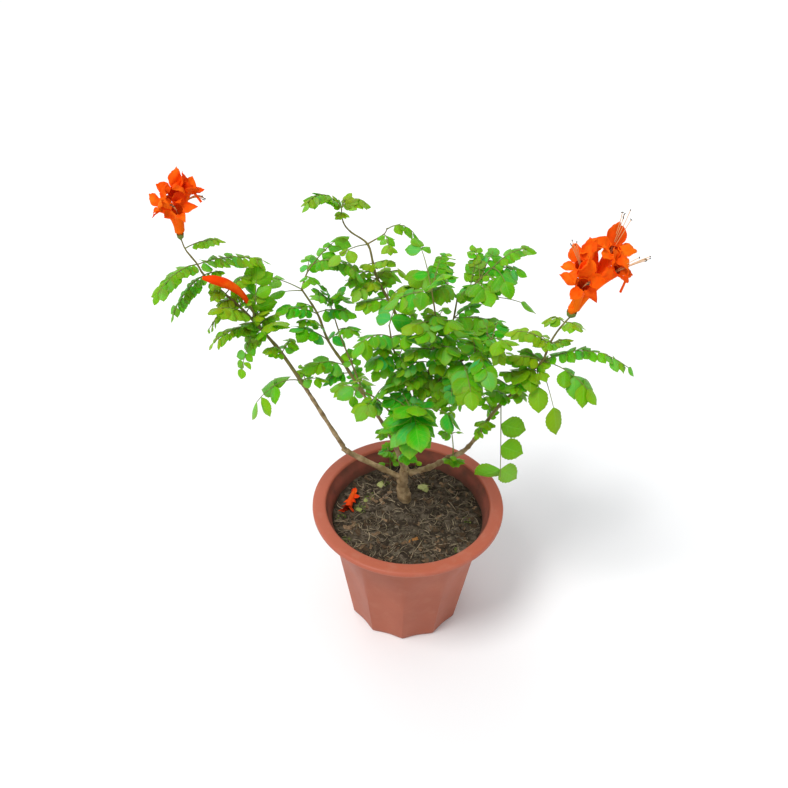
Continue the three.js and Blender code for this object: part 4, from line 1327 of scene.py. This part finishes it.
def leaf_pieces(base, row, number, yellowness, models, settings):
    """The stalk run and the leaflets of one leaf."""
    pairs, leaflet = row[4:6]
    point_at, tangent_at, side, length = leaf_line(base, row)
    size = leaflet * settings.leaflet_share
    end = max(0.42, 1 - 0.95 * size / length)
    hang = 0.04 if pairs >= STRIP_PAIRS else 0.14
    shares = pair_shares(pairs, length * end, size)
    places = []
    for pair, share in enumerate(shares):
        places += [(end * share, pair, 1), (end * share, pair, -1)]
    pairs = len(shares)
    places.append((end, pairs, 0))
    yellowness += 0.5 * (chance(number, 180) - 0.5)
    copies = []
    for along, pair, hand in places:
        if (number, pair, hand) in LOST_LEAFLETS:
            continue
        draw = 3 * pair + hand + 2
        droop = 0.15 if hand == 0 else hang + 0.34 * chance(number, draw)
        lean = 68 - 30 * pair / max(pairs, 1) + 16 * (chance(number, draw + 10) - 0.5)
        lean = math.radians(lean) * abs(hand)
        tangent = tangent_at(along)
        normal = tangent.cross(side).normalized()
        forward = (tangent * math.cos(lean) + side * hand * math.sin(lean)
                   - normal * droop).normalized()
        span = size * (0.84 + 0.32 * chance(number, draw + 40))
        start = point_at(along) + side * hand * STALK_RADIUS
        roll = (chance(number, draw + 20) - 0.5) * 0.9
        upward = Matrix.Rotation(roll, 3, forward) @ normal
        # How much painted light this leaflet's colour gets: low draws give it painted shade
        bright = chance(number, draw + 60)
        yellow = yellowness + 0.35 * (chance(number, draw + 80) - 0.5)
        yellow += 0.18 * (pair >= pairs - 1)
        model = models[int(chance(number, draw + 100) * len(models)) % len(models)]
        copies.append(copy_of(model, blade_place(start, forward, upward, span, span),
                              (bright, min(max(yellow, 0), 1), chance(number, draw + 120))))
    run = [(point_at(end * step / 8), STALK_RADIUS * between(1.25, 0.75, step / 8))
           for step in range(9)]
    return run, copies


def small_leaves(part, name, number, settings):
    """Rows of small leaves: one opposite each larger leaf, and young ones along the stem."""
    rows = []
    thickly, first, last = YOUNG_LEAVES[name]
    for along, heading, reach, _, _, leaflet, _ in part["leaves"]:
        number += 1
        if reach < 24 or along > last:
            continue
        turned = heading + 180 + 90 * (chance(number, 201) - 0.5)
        rows.append([
            along, turned, min(max(0.45 * reach, 16), 30) * between(0.8, 1.3, chance(number, 202)),
            between(2, 18, chance(number, 203)), 1 + (chance(number, 204) > 0.5),
            min(max(0.6 * leaflet, 11), 17), 0.2])
    count = round(settings.young_leaves * thickly * len(part["leaves"]) / 50)
    for young in range(count):
        number += 1
        rows.append([
            between(first, last, (young + chance(number, 211)) / count), 360 * chance(number, 212),
            between(16, 36, chance(number, 213)), between(-6, 22, chance(number, 214)),
            1 + (chance(number, 215) > 0.4), between(11, 17, chance(number, 216)), 0.2])
    return rows


def model_wood(settings):
    runs = []
    for number, part in enumerate(WOOD):
        steps = 40 if number else 26
        runs.append(stem_run(part, steps, settings.slimness if number else 0.97, 0.22))
    wood = tubes("wood", runs[1:], 14)
    butt = tubes("butt", runs[:1], 32)
    relief = bpy.data.textures.new("bark-relief", "CLOUDS")
    relief.noise_scale = 7 * MM
    knots = butt.modifiers.new("knots", "DISPLACE")
    knots.texture = relief
    knots.texture_coords = "OBJECT"
    knots.strength = 2.2 * MM
    knots.mid_level = 0.55
    apply_modifiers(butt)
    whole = join([wood, butt], "trunk-and-limbs")
    give(whole, material("bark-skin", bark_material, settings))
    smooth(whole, 60)
    return whole


def make_leaf_materials(settings):
    material("leaf-top", leaf_material, settings)
    material("leaf-underside", leaf_material, settings, True)
    material("shoot-stem", shoot_material, settings)


def leaflet_models(settings):
    thickness = settings.blade_thickness / 25
    return [model_leaflet(name, fold, curl, twist, thickness) for name, fold, curl, twist in (
        ("leaflet-flat", 0.08, 0.10, 0.0), ("leaflet-curled", 0.13, 0.28, 0.25),
        ("leaflet-folded", 0.22, 0.16, -0.3), ("leaflet-wavy", 0.05, 0.20, 0.5))]


def model_shoot(name, stems, number, models, settings, extra_runs=()):
    """One leafy shoot: its stems, leaf stalks and leaflets, as one piece."""
    stem_runs, stalk_runs, copies = list(extra_runs), [], []
    for place, part in enumerate(stems):
        stem_runs.append(stem_run(part, 24, settings.slimness, 0.12))
        rows = list(enumerate(part["leaves"], number + 1))
        number += len(rows)
        more = DRAWS_PER_LEAF * number
        if name in YOUNG_LEAVES:
            rows += enumerate(small_leaves(part, name, SMALL_LEAF_DRAWS + number, settings),
                              YOUNG_LEAF_DRAWS + more)
        rows += enumerate(EXTRA_LEAVES.get((name, place), ()), EXTRA_LEAF_DRAWS + more)
        point_at = smooth_route(part["points"])
        for leaf, row in rows:
            run, leaflets = leaf_pieces(point_at(row[0]), row, leaf, YELLOWNESS[name], models,
                                        settings)
            stalk_runs.append(run)
            copies += leaflets
    young = name.endswith("seedling") or name == "limb-sprout"
    stems_piece = dress(tubes(name + "-stems", stem_runs, 8), "shoot-stem",
                        tint=(0.5, 0.9 if young else 0.35, 0.5))
    stalks = dress(tubes(name + "-stalks", stalk_runs, 6), "shoot-stem", tint=(0.5, 0.85, 0.5))
    return join([stems_piece, stalks, *copies], name + "-leafy"), number


# Flowers

def flower_line(flower):
    base, mouth = Vector(flower["base"]), Vector(flower["mouth"])
    heading, elevation = (math.radians(angle) for angle in flower["faces"])
    facing = Vector((math.cos(heading) * math.cos(elevation),
                     math.sin(heading) * math.cos(elevation), math.sin(elevation)))
    bend = mouth - facing * 0.5 * (mouth - base).length
    return (*bent_line(base, bend, mouth), facing)


def ring_direction(along, angle):
    """A direction round a line, counted as the solids count it."""
    side = Vector((0, 1, 0)).cross(along).normalized()
    other = along.cross(side).normalized()
    return side * math.cos(angle) + other * math.sin(angle)


def model_lobe(name, edge, cup, curl, lean):
    """A crumpled petal lobe of unit length along Y, with its own outline."""
    clear_selection()
    rows = len(edge) - 1
    bpy.ops.mesh.primitive_grid_add(x_subdivisions=6, y_subdivisions=rows, size=2)
    lobe = named(name)
    edit(lobe)
    for number, (along, width) in enumerate(edge):
        level = -1 + 2 * number / rows
        pick(lobe, lambda place: abs(place.y - level) < 0.01 and place.z < 1)
        bpy.ops.transform.resize(value=(width / 2, 1, 1), center_override=(0, level, 0))
        bpy.ops.transform.translate(value=(0, along - level, -curl * along ** 2.2 + LIFT))
    for number, (along, width) in enumerate(edge):
        for share in (1, 2 / 3, 1 / 3):
            ripple = 0.05 * math.sin(9 * along + 2 + cup) * share
            pick(lobe, lambda place: abs(place.y - along) < 0.02
                 and abs(abs(place.x) - share * width / 2) < 0.02)
            bpy.ops.transform.translate(
                value=(0, -0.1 * share * along, cup * share ** 2 * width * 0.5 + ripple))
    for number, (along, _) in enumerate(edge):
        pick(lobe, lambda place: abs(place.y - along) < 0.11 and place.z > 1)
        bpy.ops.transform.translate(value=(lean * along ** 2 / 3, 0, 0))
    bpy.ops.mesh.select_all(action="SELECT")
    bpy.ops.transform.translate(value=(0, 0, -LIFT))
    leave_edit()
    finer = lobe.modifiers.new("finer", "SUBSURF")
    finer.levels = 1
    finer.render_levels = 1
    folds = bpy.data.textures.new(name + "-folds", "CLOUDS")
    folds.noise_scale = 0.33 + 0.2 * cup
    crumple = lobe.modifiers.new("crumple", "DISPLACE")
    crumple.texture = folds
    crumple.texture_coords = "LOCAL"
    crumple.strength = 0.3
    crumple.mid_level = 0.5
    thicken(lobe, LOBE_THICKNESS)
    apply_modifiers(lobe)
    return dress(lobe, "petal-skin")


def model_funnel(flower, name, faded, steps=14):
    """A flower's curved funnel, open at its mouth and thick in its wall."""
    point_at, _, _ = flower_line(flower)
    run = []
    for step in range(steps + 1):
        share = step / steps
        ridge = 1 + 0.06 * math.sin(math.pi * share)
        run.append((point_at(share), funnel_radius(flower, share) * ridge))
    piece = tubes(name, [run], 20, caps=False)
    thicken(piece, FLOWER_WALL * MM)
    apply_modifiers(piece)
    base, mouth = Vector(flower["base"]) * MM, Vector(flower["mouth"]) * MM

    def tint(place):
        share = min(max((place - base).length / (mouth - base).length, 0), 1)
        inner = ((place - point_at(share) * MM).length
                 < funnel_radius(flower, share) * MM * 0.97)
        return share * 0.9, 0.75 if inner else 0.0, faded

    tint_by_place(piece, tint)
    return dress(piece, "petal-skin")


def funnel_radius(flower, share):
    return between(FUNNEL_BASE_RADIUS, flower["wide"], share ** FUNNEL_FLARE)


def flower_pieces(flower, number, lobes, redness, faded=0.0):
    """The funnel, five lobes and stamens of one flower."""
    name = f"flower-{number}"
    point_at, tangent_at, facing = flower_line(flower)
    pieces = [model_funnel(flower, name, faded)]
    mouth, along = point_at(1), tangent_at(1)
    for lobe in range(LOBE_COUNT):
        place = 2 * lobe + 0.5
        out = ring_direction(along, 2 * math.pi * place / (2 * LOBE_COUNT))
        spread = math.radians(flower["spread"] + 10 * math.sin(place * 2.1))
        forward = facing * math.cos(spread) + out * math.sin(spread)
        upward = facing * math.sin(spread) - out * math.cos(spread)
        length = flower["lobe"] * (1 + 0.1 * math.sin(place * 5.3) + 0.35 * out.z)
        start = mouth + out * (flower["wide"] - 0.9) - forward * 0.08 * length
        model = lobes[(number + lobe) % len(lobes)]
        dark = 0.65 * chance(number, lobe + 7) ** 2
        pieces.append(copy_of(
            model, blade_place(start, forward, upward, length * 1.06, length * LOBE_WIDTH * 1.1),
            (redness + 0.7 * chance(number, lobe), dark, faded)))
    if flower["stamens"]:
        pieces += stamen_pieces(flower, number, point_at)
    return pieces


def stamen_pieces(flower, number, point_at):
    """Four fine stamens with dark anthers and a longer style, which is the last."""
    reach = Vector(flower["stamens"])
    mouth = point_at(1)
    sag = Vector((0, 0, 0.06 * reach.length))
    runs, anthers = [], []
    for one in range(5):
        style = one == 4
        fan = Vector([chance(number * 7 + one, draw) - 0.5 for draw in range(3)]) * 0.28
        far = reach * between(0.74, 1, chance(number, one + 50)) + fan * reach.length
        if style:
            far = reach
        line, _ = bent_line(point_at(0.6), mouth + far * 0.35 + sag, mouth + far)
        runs.append([(line(step / 8), STAMEN_RADIUS) for step in range(9)])
        bpy.ops.mesh.primitive_uv_sphere_add(segments=8, ring_count=6, radius=1)
        anther = named("anther")
        turn = far.normalized().to_track_quat("X", "Z").to_matrix().to_4x4()
        skew = Matrix() if style else Matrix.Rotation(0.9 * (one - 1.5), 4, "Z")
        sizes = Matrix.Diagonal(((1.1 if style else 1.9) * MM, 0.6 * MM, 0.6 * MM, 1))
        anther.data.transform(Matrix.Translation((mouth + far) * MM) @ turn @ skew @ sizes)
        anthers.append(dress(anther, "anther", tint=(0.5, 0, 0.5)))
    filaments = tubes(f"stamens-{number}", runs, 6)
    return [dress(filaments, "filament", tint=(0.05, 0, 0.5)), *anthers]


def model_calyx(head, name):
    """The green cup of a head, with teeth round its edge."""
    x, y, z = head["foot"]
    radius = head["foot_radius"]
    levels = [(-CALYX_DEPTH, 1.1), (-1.6, radius * 0.6), (0.2, radius + 0.5), (2.4, radius + 0.9),
              (4.6, radius + 1.2)]
    clear_selection()
    bpy.ops.mesh.primitive_circle_add(vertices=20, radius=levels[0][1] * MM, fill_type="NGON",
                                      location=(x * MM, y * MM, (z + levels[0][0]) * MM))
    cup = named(name)
    settle(cup)
    edit(cup)
    for (low, before), (high, after) in zip(levels, levels[1:]):
        bpy.ops.mesh.extrude_edges_move(
            TRANSFORM_OT_translate={"value": (0, 0, (high - low) * MM)})
        bpy.ops.transform.resize(value=(after / before, after / before, 1),
                                 center_override=(x * MM, y * MM, (z + high) * MM))
    top, edge = (z + levels[-1][0]) * MM, levels[-1][1]
    for tooth in range(LOBE_COUNT):
        angle = 2 * math.pi * tooth / LOBE_COUNT
        tip = Vector((x + edge * math.cos(angle), y + edge * math.sin(angle))) * MM
        pick(cup, lambda place: abs(place.z - top) < 0.02 * MM and (place.xy - tip).length < MM)
        bpy.ops.transform.translate(value=(0, 0, CALYX_TOOTH * MM))
    leave_edit()
    close_up(cup)
    thicken(cup, FLOWER_WALL * MM)
    apply_modifiers(cup)
    return dress(cup, "shoot-stem", 50, (0.5, 1.0, 0.5))


def model_foot(head, name):
    x, y, z = head["foot"]
    radius = head["foot_radius"]
    run = [((x, y, z + FOOT_LENGTH * step / 6), between(radius - 0.6, radius + 0.2, step / 6))
           for step in range(7)]
    run.append(((x, y, z + FOOT_LENGTH + 2.5), radius - 0.8))
    return dress(tubes(name, [run], 16), "petal-skin", tint=(0.1, 0, 0))


def dropped_petals(lobes):
    """The petals that lie crumpled along the dropped flower."""
    petals = []
    for number, (place, heading, length) in enumerate(DROPPED_PETALS):
        turn = math.radians(heading)
        forward = Vector((math.cos(turn), math.sin(turn), 0.2)).normalized()
        petals.append(copy_of(lobes[number % len(lobes)],
                              blade_place(Vector(place), forward, UP, length, length * LOBE_WIDTH),
                              PETAL_TINT))
    return petals


def model_style(points, name):
    """A limp style, a little thicker at its end."""
    point_at = smooth_route(points)
    run = [(point_at(step / 10), STYLE_RADIUS * between(0.8, 1.1, step / 10))
           for step in range(11)]
    return dress(tubes(name, [run], 8), "petal-skin", tint=(0.7, 0.2, 0))


def make_petal_materials(settings):
    material("petal-skin", petal_material, settings)
    material("filament", plain_material, "filament", settings.filament_colour, 0.5)
    material("anther", plain_material, "anther", settings.anther_colour, 0.8)


def lobe_models():
    return [
        model_lobe("lobe-broad", BROAD_LOBE, 0.1, 0.12, 0.1),
        model_lobe("lobe-pointed", POINTED_LOBE, 0.35, 0.4, -0.12),
        model_lobe("lobe-ragged", RAGGED_LOBE, 0.25, -0.1, 0.16),
        model_lobe("lobe-rolled", POINTED_LOBE, -0.3, 0.55, 0.05),
    ]


def model_bud():
    """The closed flower, redder than the open ones and darkest at its base."""
    point_at = smooth_route(BUD_ROUTE)
    run = []
    for step in range(23):
        share = step / 22
        place = share * (len(BUD_RADII) - 1)
        low = min(int(place), len(BUD_RADII) - 2)
        rest = place - low
        run.append((point_at(share), between(BUD_RADII[low], BUD_RADII[low + 1],
                                             smooth_step(rest) * 0.5 + rest * 0.5)))
    bud = tubes("bud", [run], 16)
    start = Vector(BUD_ROUTE[0]) * MM
    tint_by_place(bud, lambda place: (
        0.95, between(0.4, 0.25, min((place - start).length / (BUD_LENGTH * MM), 1)), 0))
    return dress(bud, "petal-skin")


def cut_flat(piece, height):
    """Cuts a piece flat underneath at a height."""
    edit(piece)
    bpy.ops.mesh.bisect(plane_co=(0, 0, height * MM), plane_no=(0, 0, -1), use_fill=True,
                        clear_outer=True)
    leave_edit()


# Settings

def colour(name, description, default):
    return bpy.props.FloatVectorProperty(name=name, description=description, default=default,
                                         subtype="COLOR", size=3, min=0, max=1)


def measure(name, description, default, **limits):
    return bpy.props.FloatProperty(name=name, description=description, default=default, **limits)


def count(name, description, default, least, most):
    return bpy.props.IntProperty(name=name, description=description, default=default,
                                 min=least, max=most)


class PotSettings(bpy.types.PropertyGroup):
    wall_colour: colour("Wall", "Colour of the pot's fluted wall", (0.41, 0.108, 0.055))
    wall_shade: colour("Wall shade", "Darker patches on the wall", (0.34, 0.085, 0.042))
    rim_colour: colour("Rim", "Colour of the faded rim", (0.47, 0.118, 0.066))
    dust_colour: colour("Dust", "Colour of dust on the plastic", (0.55, 0.28, 0.20))
    # Painted shade: the inside is painted darker than the outer wall, for the shade inside the pot
    inside_colour: colour("Inside", "Colour of the pot's inside", (0.31, 0.085, 0.055))
    soil_stain: colour("Soil stain", "Colour of the inside near the soil", (0.15, 0.062, 0.042))


class SoilSettings(bpy.types.PropertyGroup):
    soil_colour: colour("Soil", "Colour of moist soil", (0.043, 0.032, 0.022))
    dry_colour: colour("Dry soil", "Colour of drier crumbs", (0.175, 0.14, 0.10))
    roughness: measure("Roughness", "Height of the soil's fine relief in millimetres", 1.6,
                       min=0, max=4)
    top_rings: count("Top rings", "Rings of the soil's top", 30, 8, 60)
    crumbs: count("Crumbs", "Loose crumbs on the soil", 1150, 0, 3000)
    chips: count("Bark chips", "Bark chips on the soil", 190, 0, 600)
    strands: count("Fibres", "Dry fibres on the soil", 800, 0, 2000)


class WoodSettings(bpy.types.PropertyGroup):
    bark_colour: colour("Bark", "Colour of the bark", (0.22, 0.145, 0.065))
    cork_colour: colour("Cork", "Colour of paler bark patches", (0.46, 0.33, 0.18))
    slimness: measure("Slimness", "Share of the solid stems' width", 0.92, min=0.5, max=1,
                      subtype="FACTOR")


class LeafSettings(bpy.types.PropertyGroup):
    deep_green: colour("Deep green", "Colour of old leaflets", (0.028, 0.42, 0.003))
    yellow_green: colour("Yellow green", "Colour of young leaflets", (0.29, 0.455, 0.002))
    # Painted sheen: a pale bluish green that stands in for the sky's reflection on some leaflets
    sheen_green: colour("Blue green", "Colour of bluish leaflets", (0.05, 0.50, 0.14))
    edge_colour: colour("Edge", "Colour of the leaflets' edges and tips", (0.22, 0.32, 0.004))
    pale_green: colour("Pale green", "Colour of veins and undersides", (0.24, 0.52, 0.05))
    stem_colour: colour("Stem", "Colour of the young stems", (0.27, 0.175, 0.06))
    young_stem_colour: colour("Stalk", "Colour of leaf stalks", (0.20, 0.27, 0.05))
    bark_colour: colour("Stem shade", "Darker patches of the stems", (0.12, 0.085, 0.04))
    blade_thickness: measure("Blade thickness", "Thickness of a leaflet in millimetres", 0.4,
                             min=0.1, max=1)
    slimness: measure("Slimness", "Share of the solid stems' width", 0.84, min=0.5, max=1,
                      subtype="FACTOR")
    leaflet_share: measure("Leaflet size", "Share of the solid leaflets' length", 0.9,
                           min=0.5, max=1, subtype="FACTOR")
    young_leaves: measure("Young leaves", "How many young leaves grow along the stems", 5,
                          min=0, max=12)


class FlowerSettings(bpy.types.PropertyGroup):
    tube_colour: colour("Tube", "Colour of the funnels", (1.0, 0.19, 0.006))
    lobe_colour: colour("Lobes", "Colour of the lobes", (1.0, 0.066, 0.001))
    # Painted highlights: the pale orange of the patches that stand in for light on the petals
    painted_highlight_colour: colour("Light orange", "Colour of the pale patches", (1.0, 0.25, 0.012))
    withered_colour: colour("Withered", "Colour of a dropped flower", (0.50, 0.032, 0.012))
    deep_colour: colour("Deep red", "Colour of throats and dark lobes", (0.55, 0.008, 0.003))
    filament_colour: colour("Stamens", "Colour of the stamens", (0.75, 0.42, 0.16))
    anther_colour: colour("Anthers", "Colour of the anthers", (0.08, 0.06, 0.035))


class StageSettings(bpy.types.PropertyGroup):
    floor_colour: colour("Floor", "Colour of the floor", (0.93, 0.93, 0.93))
    key_strength: measure("Key light", "Strength of the main soft light", 1.82, min=0)
    rim_power: measure("Rim light", "Power of the light from behind", 5, min=0,
                       subtype="POWER", unit="POWER")
    sky_strength: measure("Sky", "Strength of the even light from all round", 0.64, min=0)


# Operators

class HONEYSUCKLE_OT_pot(bpy.types.Operator):
    """Build the fluted pot"""
    bl_idname = "honeysuckle.pot"
    bl_label = "Pot"

    def execute(self, context):
        pot = model_pot(context.scene.honeysuckle_pot)
        finish_piece(pot, "terracotta", "pot")
        return {"FINISHED"}


class HONEYSUCKLE_OT_soil(bpy.types.Operator):
    """Build the soil body"""
    bl_idname = "honeysuckle.soil"
    bl_label = "Soil"

    def execute(self, context):
        soil = model_soil(context.scene.honeysuckle_soil)
        finish_piece(soil, "soil", "soil")
        return {"FINISHED"}


class HONEYSUCKLE_OT_litter(bpy.types.Operator):
    """Scatter crumbs, bark chips, fibres, sticks, moss and leaf scraps over the soil"""
    bl_idname = "honeysuckle.litter"
    bl_label = "Soil litter"

    def execute(self, context):
        settings = context.scene.honeysuckle_soil
        make_leaf_materials(context.scene.honeysuckle_leaf)
        clear_selection()
        crumb, chip = model_crumb(), model_chip()
        strands = [model_strand(*shape) for shape in STRANDS]
        stick = model_strand("stick", 0.06, 0.055)
        scrap = model_leaflet("scrap-model", 0.15, 0.3, 0.3, 0.03)
        loose = {
            "crumb": scatter("soil-crumbs", [crumb], settings.crumbs, 1000, (0.9, 3.4), 0.7,
                             0.25),
            "bark-chip": scatter("bark-chips", [chip], settings.chips, 3000, (2.5, 6), 1.0, 0.0),
            "fibre": scatter("fibres", strands, settings.strands, 5000, (3.5, 10), 1.0, -0.06),
            "moss": clumps("moss", crumb, MOSS_PATCHES, 7000, (0.8, 2.2)),
            "stick": laid("sticks", stick, STICKS, 0, -0.8),
            "leaf-scrap": laid("leaf-scraps", scrap, LEAF_SCRAPS, 0.2, -1.4),
            "amber-chip": laid("amber-chips", chip, AMBER_CHIPS, 0.2, -0.8),
            "tuft": clumps("fibre-tufts", strands[1], FIBRE_CLUMPS, 9000, (4, 8)),
        }
        for kind, piece in loose.items():
            scraps = kind == "leaf-scrap"
            give(piece, *[material(kind, litter_material, kind)] * (2 if scraps else 1))
            finish_piece(piece, "leaf" if scraps else "soil")
        remove([crumb, chip, *strands, stick, scrap])
        return {"FINISHED"}


class HONEYSUCKLE_OT_wood(bpy.types.Operator):
    """Build the trunk and the woody limbs"""
    bl_idname = "honeysuckle.wood"
    bl_label = "Trunk and limbs"

    def execute(self, context):
        wood = model_wood(context.scene.honeysuckle_wood)
        finish_piece(wood, "bark", "trunk")
        return {"FINISHED"}


class HONEYSUCKLE_OT_shoots(bpy.types.Operator):
    """Build every leafy shoot, sprout and seedling"""
    bl_idname = "honeysuckle.shoots"
    bl_label = "Leafy shoots"

    def execute(self, context):
        settings = context.scene.honeysuckle_leaf
        make_leaf_materials(settings)
        models = leaflet_models(settings)
        number = 0
        for name, stems in SHOOTS.items():
            extra = []
            if name == "left-shoot":
                point_at = smooth_route(BUD_STALK)
                extra.append([(point_at(step / 8), between(0.9, 1.6, step / 8))
                              for step in range(9)])
            shoot, number = model_shoot(name, stems, number, models, settings, extra)
            if name in ("left-shoot", "right-shoot"):
                head = name.replace("shoot", "flowers")
                shoot = join([shoot, model_calyx(HEADS[head], head + "-calyx")], name + "-leafy")
            finish_piece(shoot, "leaf", name)
        remove(models)
        return {"FINISHED"}


class HONEYSUCKLE_OT_flowers(bpy.types.Operator):
    """Build the flower heads, the bud and the dropped flower"""
    bl_idname = "honeysuckle.flowers"
    bl_label = "Flowers"

    def execute(self, context):
        make_petal_materials(context.scene.honeysuckle_flower)
        lobes = lobe_models()
        number = 0
        for name, head in HEADS.items():
            pieces = [model_foot(head, name + "-foot")]
            for flower in head["flowers"]:
                number += 1
                pieces += flower_pieces(flower, number, lobes, head["redness"])
            pieces.append(model_style(STYLES[name], name + "-style"))
            finish_piece(join(pieces, name + "-open"), "petal", name)
        finish_piece(model_bud(), "petal", "flower-bud")
        dropped = join([*flower_pieces(DROPPED, DROPPED_NUMBER, lobes, 0.3, DROPPED_FADING),
                        *dropped_petals(lobes)], "dropped-flower-curled")
        cut_flat(dropped, RESTING_HEIGHT + GAP)
        finish_piece(dropped, "petal", "dropped-flower")
        remove(lobes)
        return {"FINISHED"}


class HONEYSUCKLE_OT_stage(bpy.types.Operator):
    """Set up the floor, the lights and the camera"""
    bl_idname = "honeysuckle.stage"
    bl_label = "Stage"

    def execute(self, context):
        settings = context.scene.honeysuckle_stage
        clear_selection()
        bpy.ops.mesh.primitive_plane_add(size=FLOOR_SIZE)
        floor = named("floor")
        give(floor, plain_material("floor", settings.floor_colour, 0.9))
        bpy.ops.object.light_add(type="SUN", location=KEY_PLACE)
        key = named("key-light")
        key.data.energy = settings.key_strength
        key.data.angle = math.radians(KEY_SOFTNESS)
        key.rotation_euler = KEY_WAY.to_track_quat("-Z", "Y").to_euler()
        bpy.ops.object.light_add(type="AREA", location=RIM_LIGHT_PLACE)
        rim = named("rim-light")
        rim.data.energy = settings.rim_power
        rim.data.size = RIM_LIGHT_SIZE
        aim = RIM_LIGHT_AIM - rim.location
        rim.rotation_euler = aim.to_track_quat("-Z", "Y").to_euler()
        sky = bpy.data.worlds.new("sky")
        sky.use_nodes = True
        fill(sky.node_tree, sky.node_tree.nodes["Background"],
             {"Color": (*SKY_COLOUR, 1), "Strength": settings.sky_strength})
        context.scene.world = sky
        context.scene.view_settings.view_transform = "Standard"
        self.place_camera(context)
        return {"FINISHED"}

    def place_camera(self, context):
        pitch, roll = math.radians(CAMERA_PITCH), math.radians(CAMERA_ROLL)
        ahead = Vector((0, math.cos(pitch), -math.sin(pitch)))
        level_up = Vector((0, math.sin(pitch), math.cos(pitch)))
        level_right = Vector((1, 0, 0))
        right = level_right * math.cos(roll) + level_up * math.sin(roll)
        upward = level_up * math.cos(roll) - level_right * math.sin(roll)
        bpy.ops.object.camera_add(location=CAMERA_PLACE)
        camera = named("photo-camera")
        turn = Matrix((right, upward, -ahead)).transposed()
        camera.rotation_euler = turn.to_euler()
        camera.data.lens = CAMERA_LENS
        camera.data.sensor_width = CAMERA_SENSOR
        context.scene.camera = camera


class HONEYSUCKLE_PT_panel(bpy.types.Panel):
    """The parts of the potted cape honeysuckle"""
    bl_idname = "HONEYSUCKLE_PT_panel"
    bl_label = "Potted cape honeysuckle"
    bl_space_type = "VIEW_3D"
    bl_region_type = "UI"
    bl_category = "Honeysuckle"

    def draw(self, context):
        for operator, settings in PANEL_ROWS:
            box = self.layout.box()
            box.operator(operator.bl_idname)
            if settings:
                group = getattr(context.scene, settings)
                for label in group.bl_rna.properties.keys():
                    if label not in ("rna_type", "name"):
                        box.prop(group, label)


SETTINGS = {
    "honeysuckle_pot": PotSettings,
    "honeysuckle_soil": SoilSettings,
    "honeysuckle_wood": WoodSettings,
    "honeysuckle_leaf": LeafSettings,
    "honeysuckle_flower": FlowerSettings,
    "honeysuckle_stage": StageSettings,
}
PANEL_ROWS = [
    (HONEYSUCKLE_OT_pot, "honeysuckle_pot"),
    (HONEYSUCKLE_OT_soil, "honeysuckle_soil"),
    (HONEYSUCKLE_OT_litter, None),
    (HONEYSUCKLE_OT_wood, "honeysuckle_wood"),
    (HONEYSUCKLE_OT_shoots, "honeysuckle_leaf"),
    (HONEYSUCKLE_OT_flowers, "honeysuckle_flower"),
    (HONEYSUCKLE_OT_stage, "honeysuckle_stage"),
]
CLASSES = [*SETTINGS.values(), *(operator for operator, _ in PANEL_ROWS), HONEYSUCKLE_PT_panel]


def register():
    for one in CLASSES:
        bpy.utils.register_class(one)
    for label, group in SETTINGS.items():
        setattr(bpy.types.Scene, label, bpy.props.PointerProperty(type=group))


def unregister():
    for label in SETTINGS:
        delattr(bpy.types.Scene, label)
    for one in reversed(CLASSES):
        bpy.utils.unregister_class(one)


def main():
    register()
    bpy.ops.honeysuckle.pot()
    bpy.ops.honeysuckle.soil()
    bpy.ops.honeysuckle.litter()
    bpy.ops.honeysuckle.wood()
    bpy.ops.honeysuckle.shoots()
    bpy.ops.honeysuckle.flowers()
    bpy.ops.honeysuckle.stage()
    clear_selection()


if __name__ == "__main__":
    main()
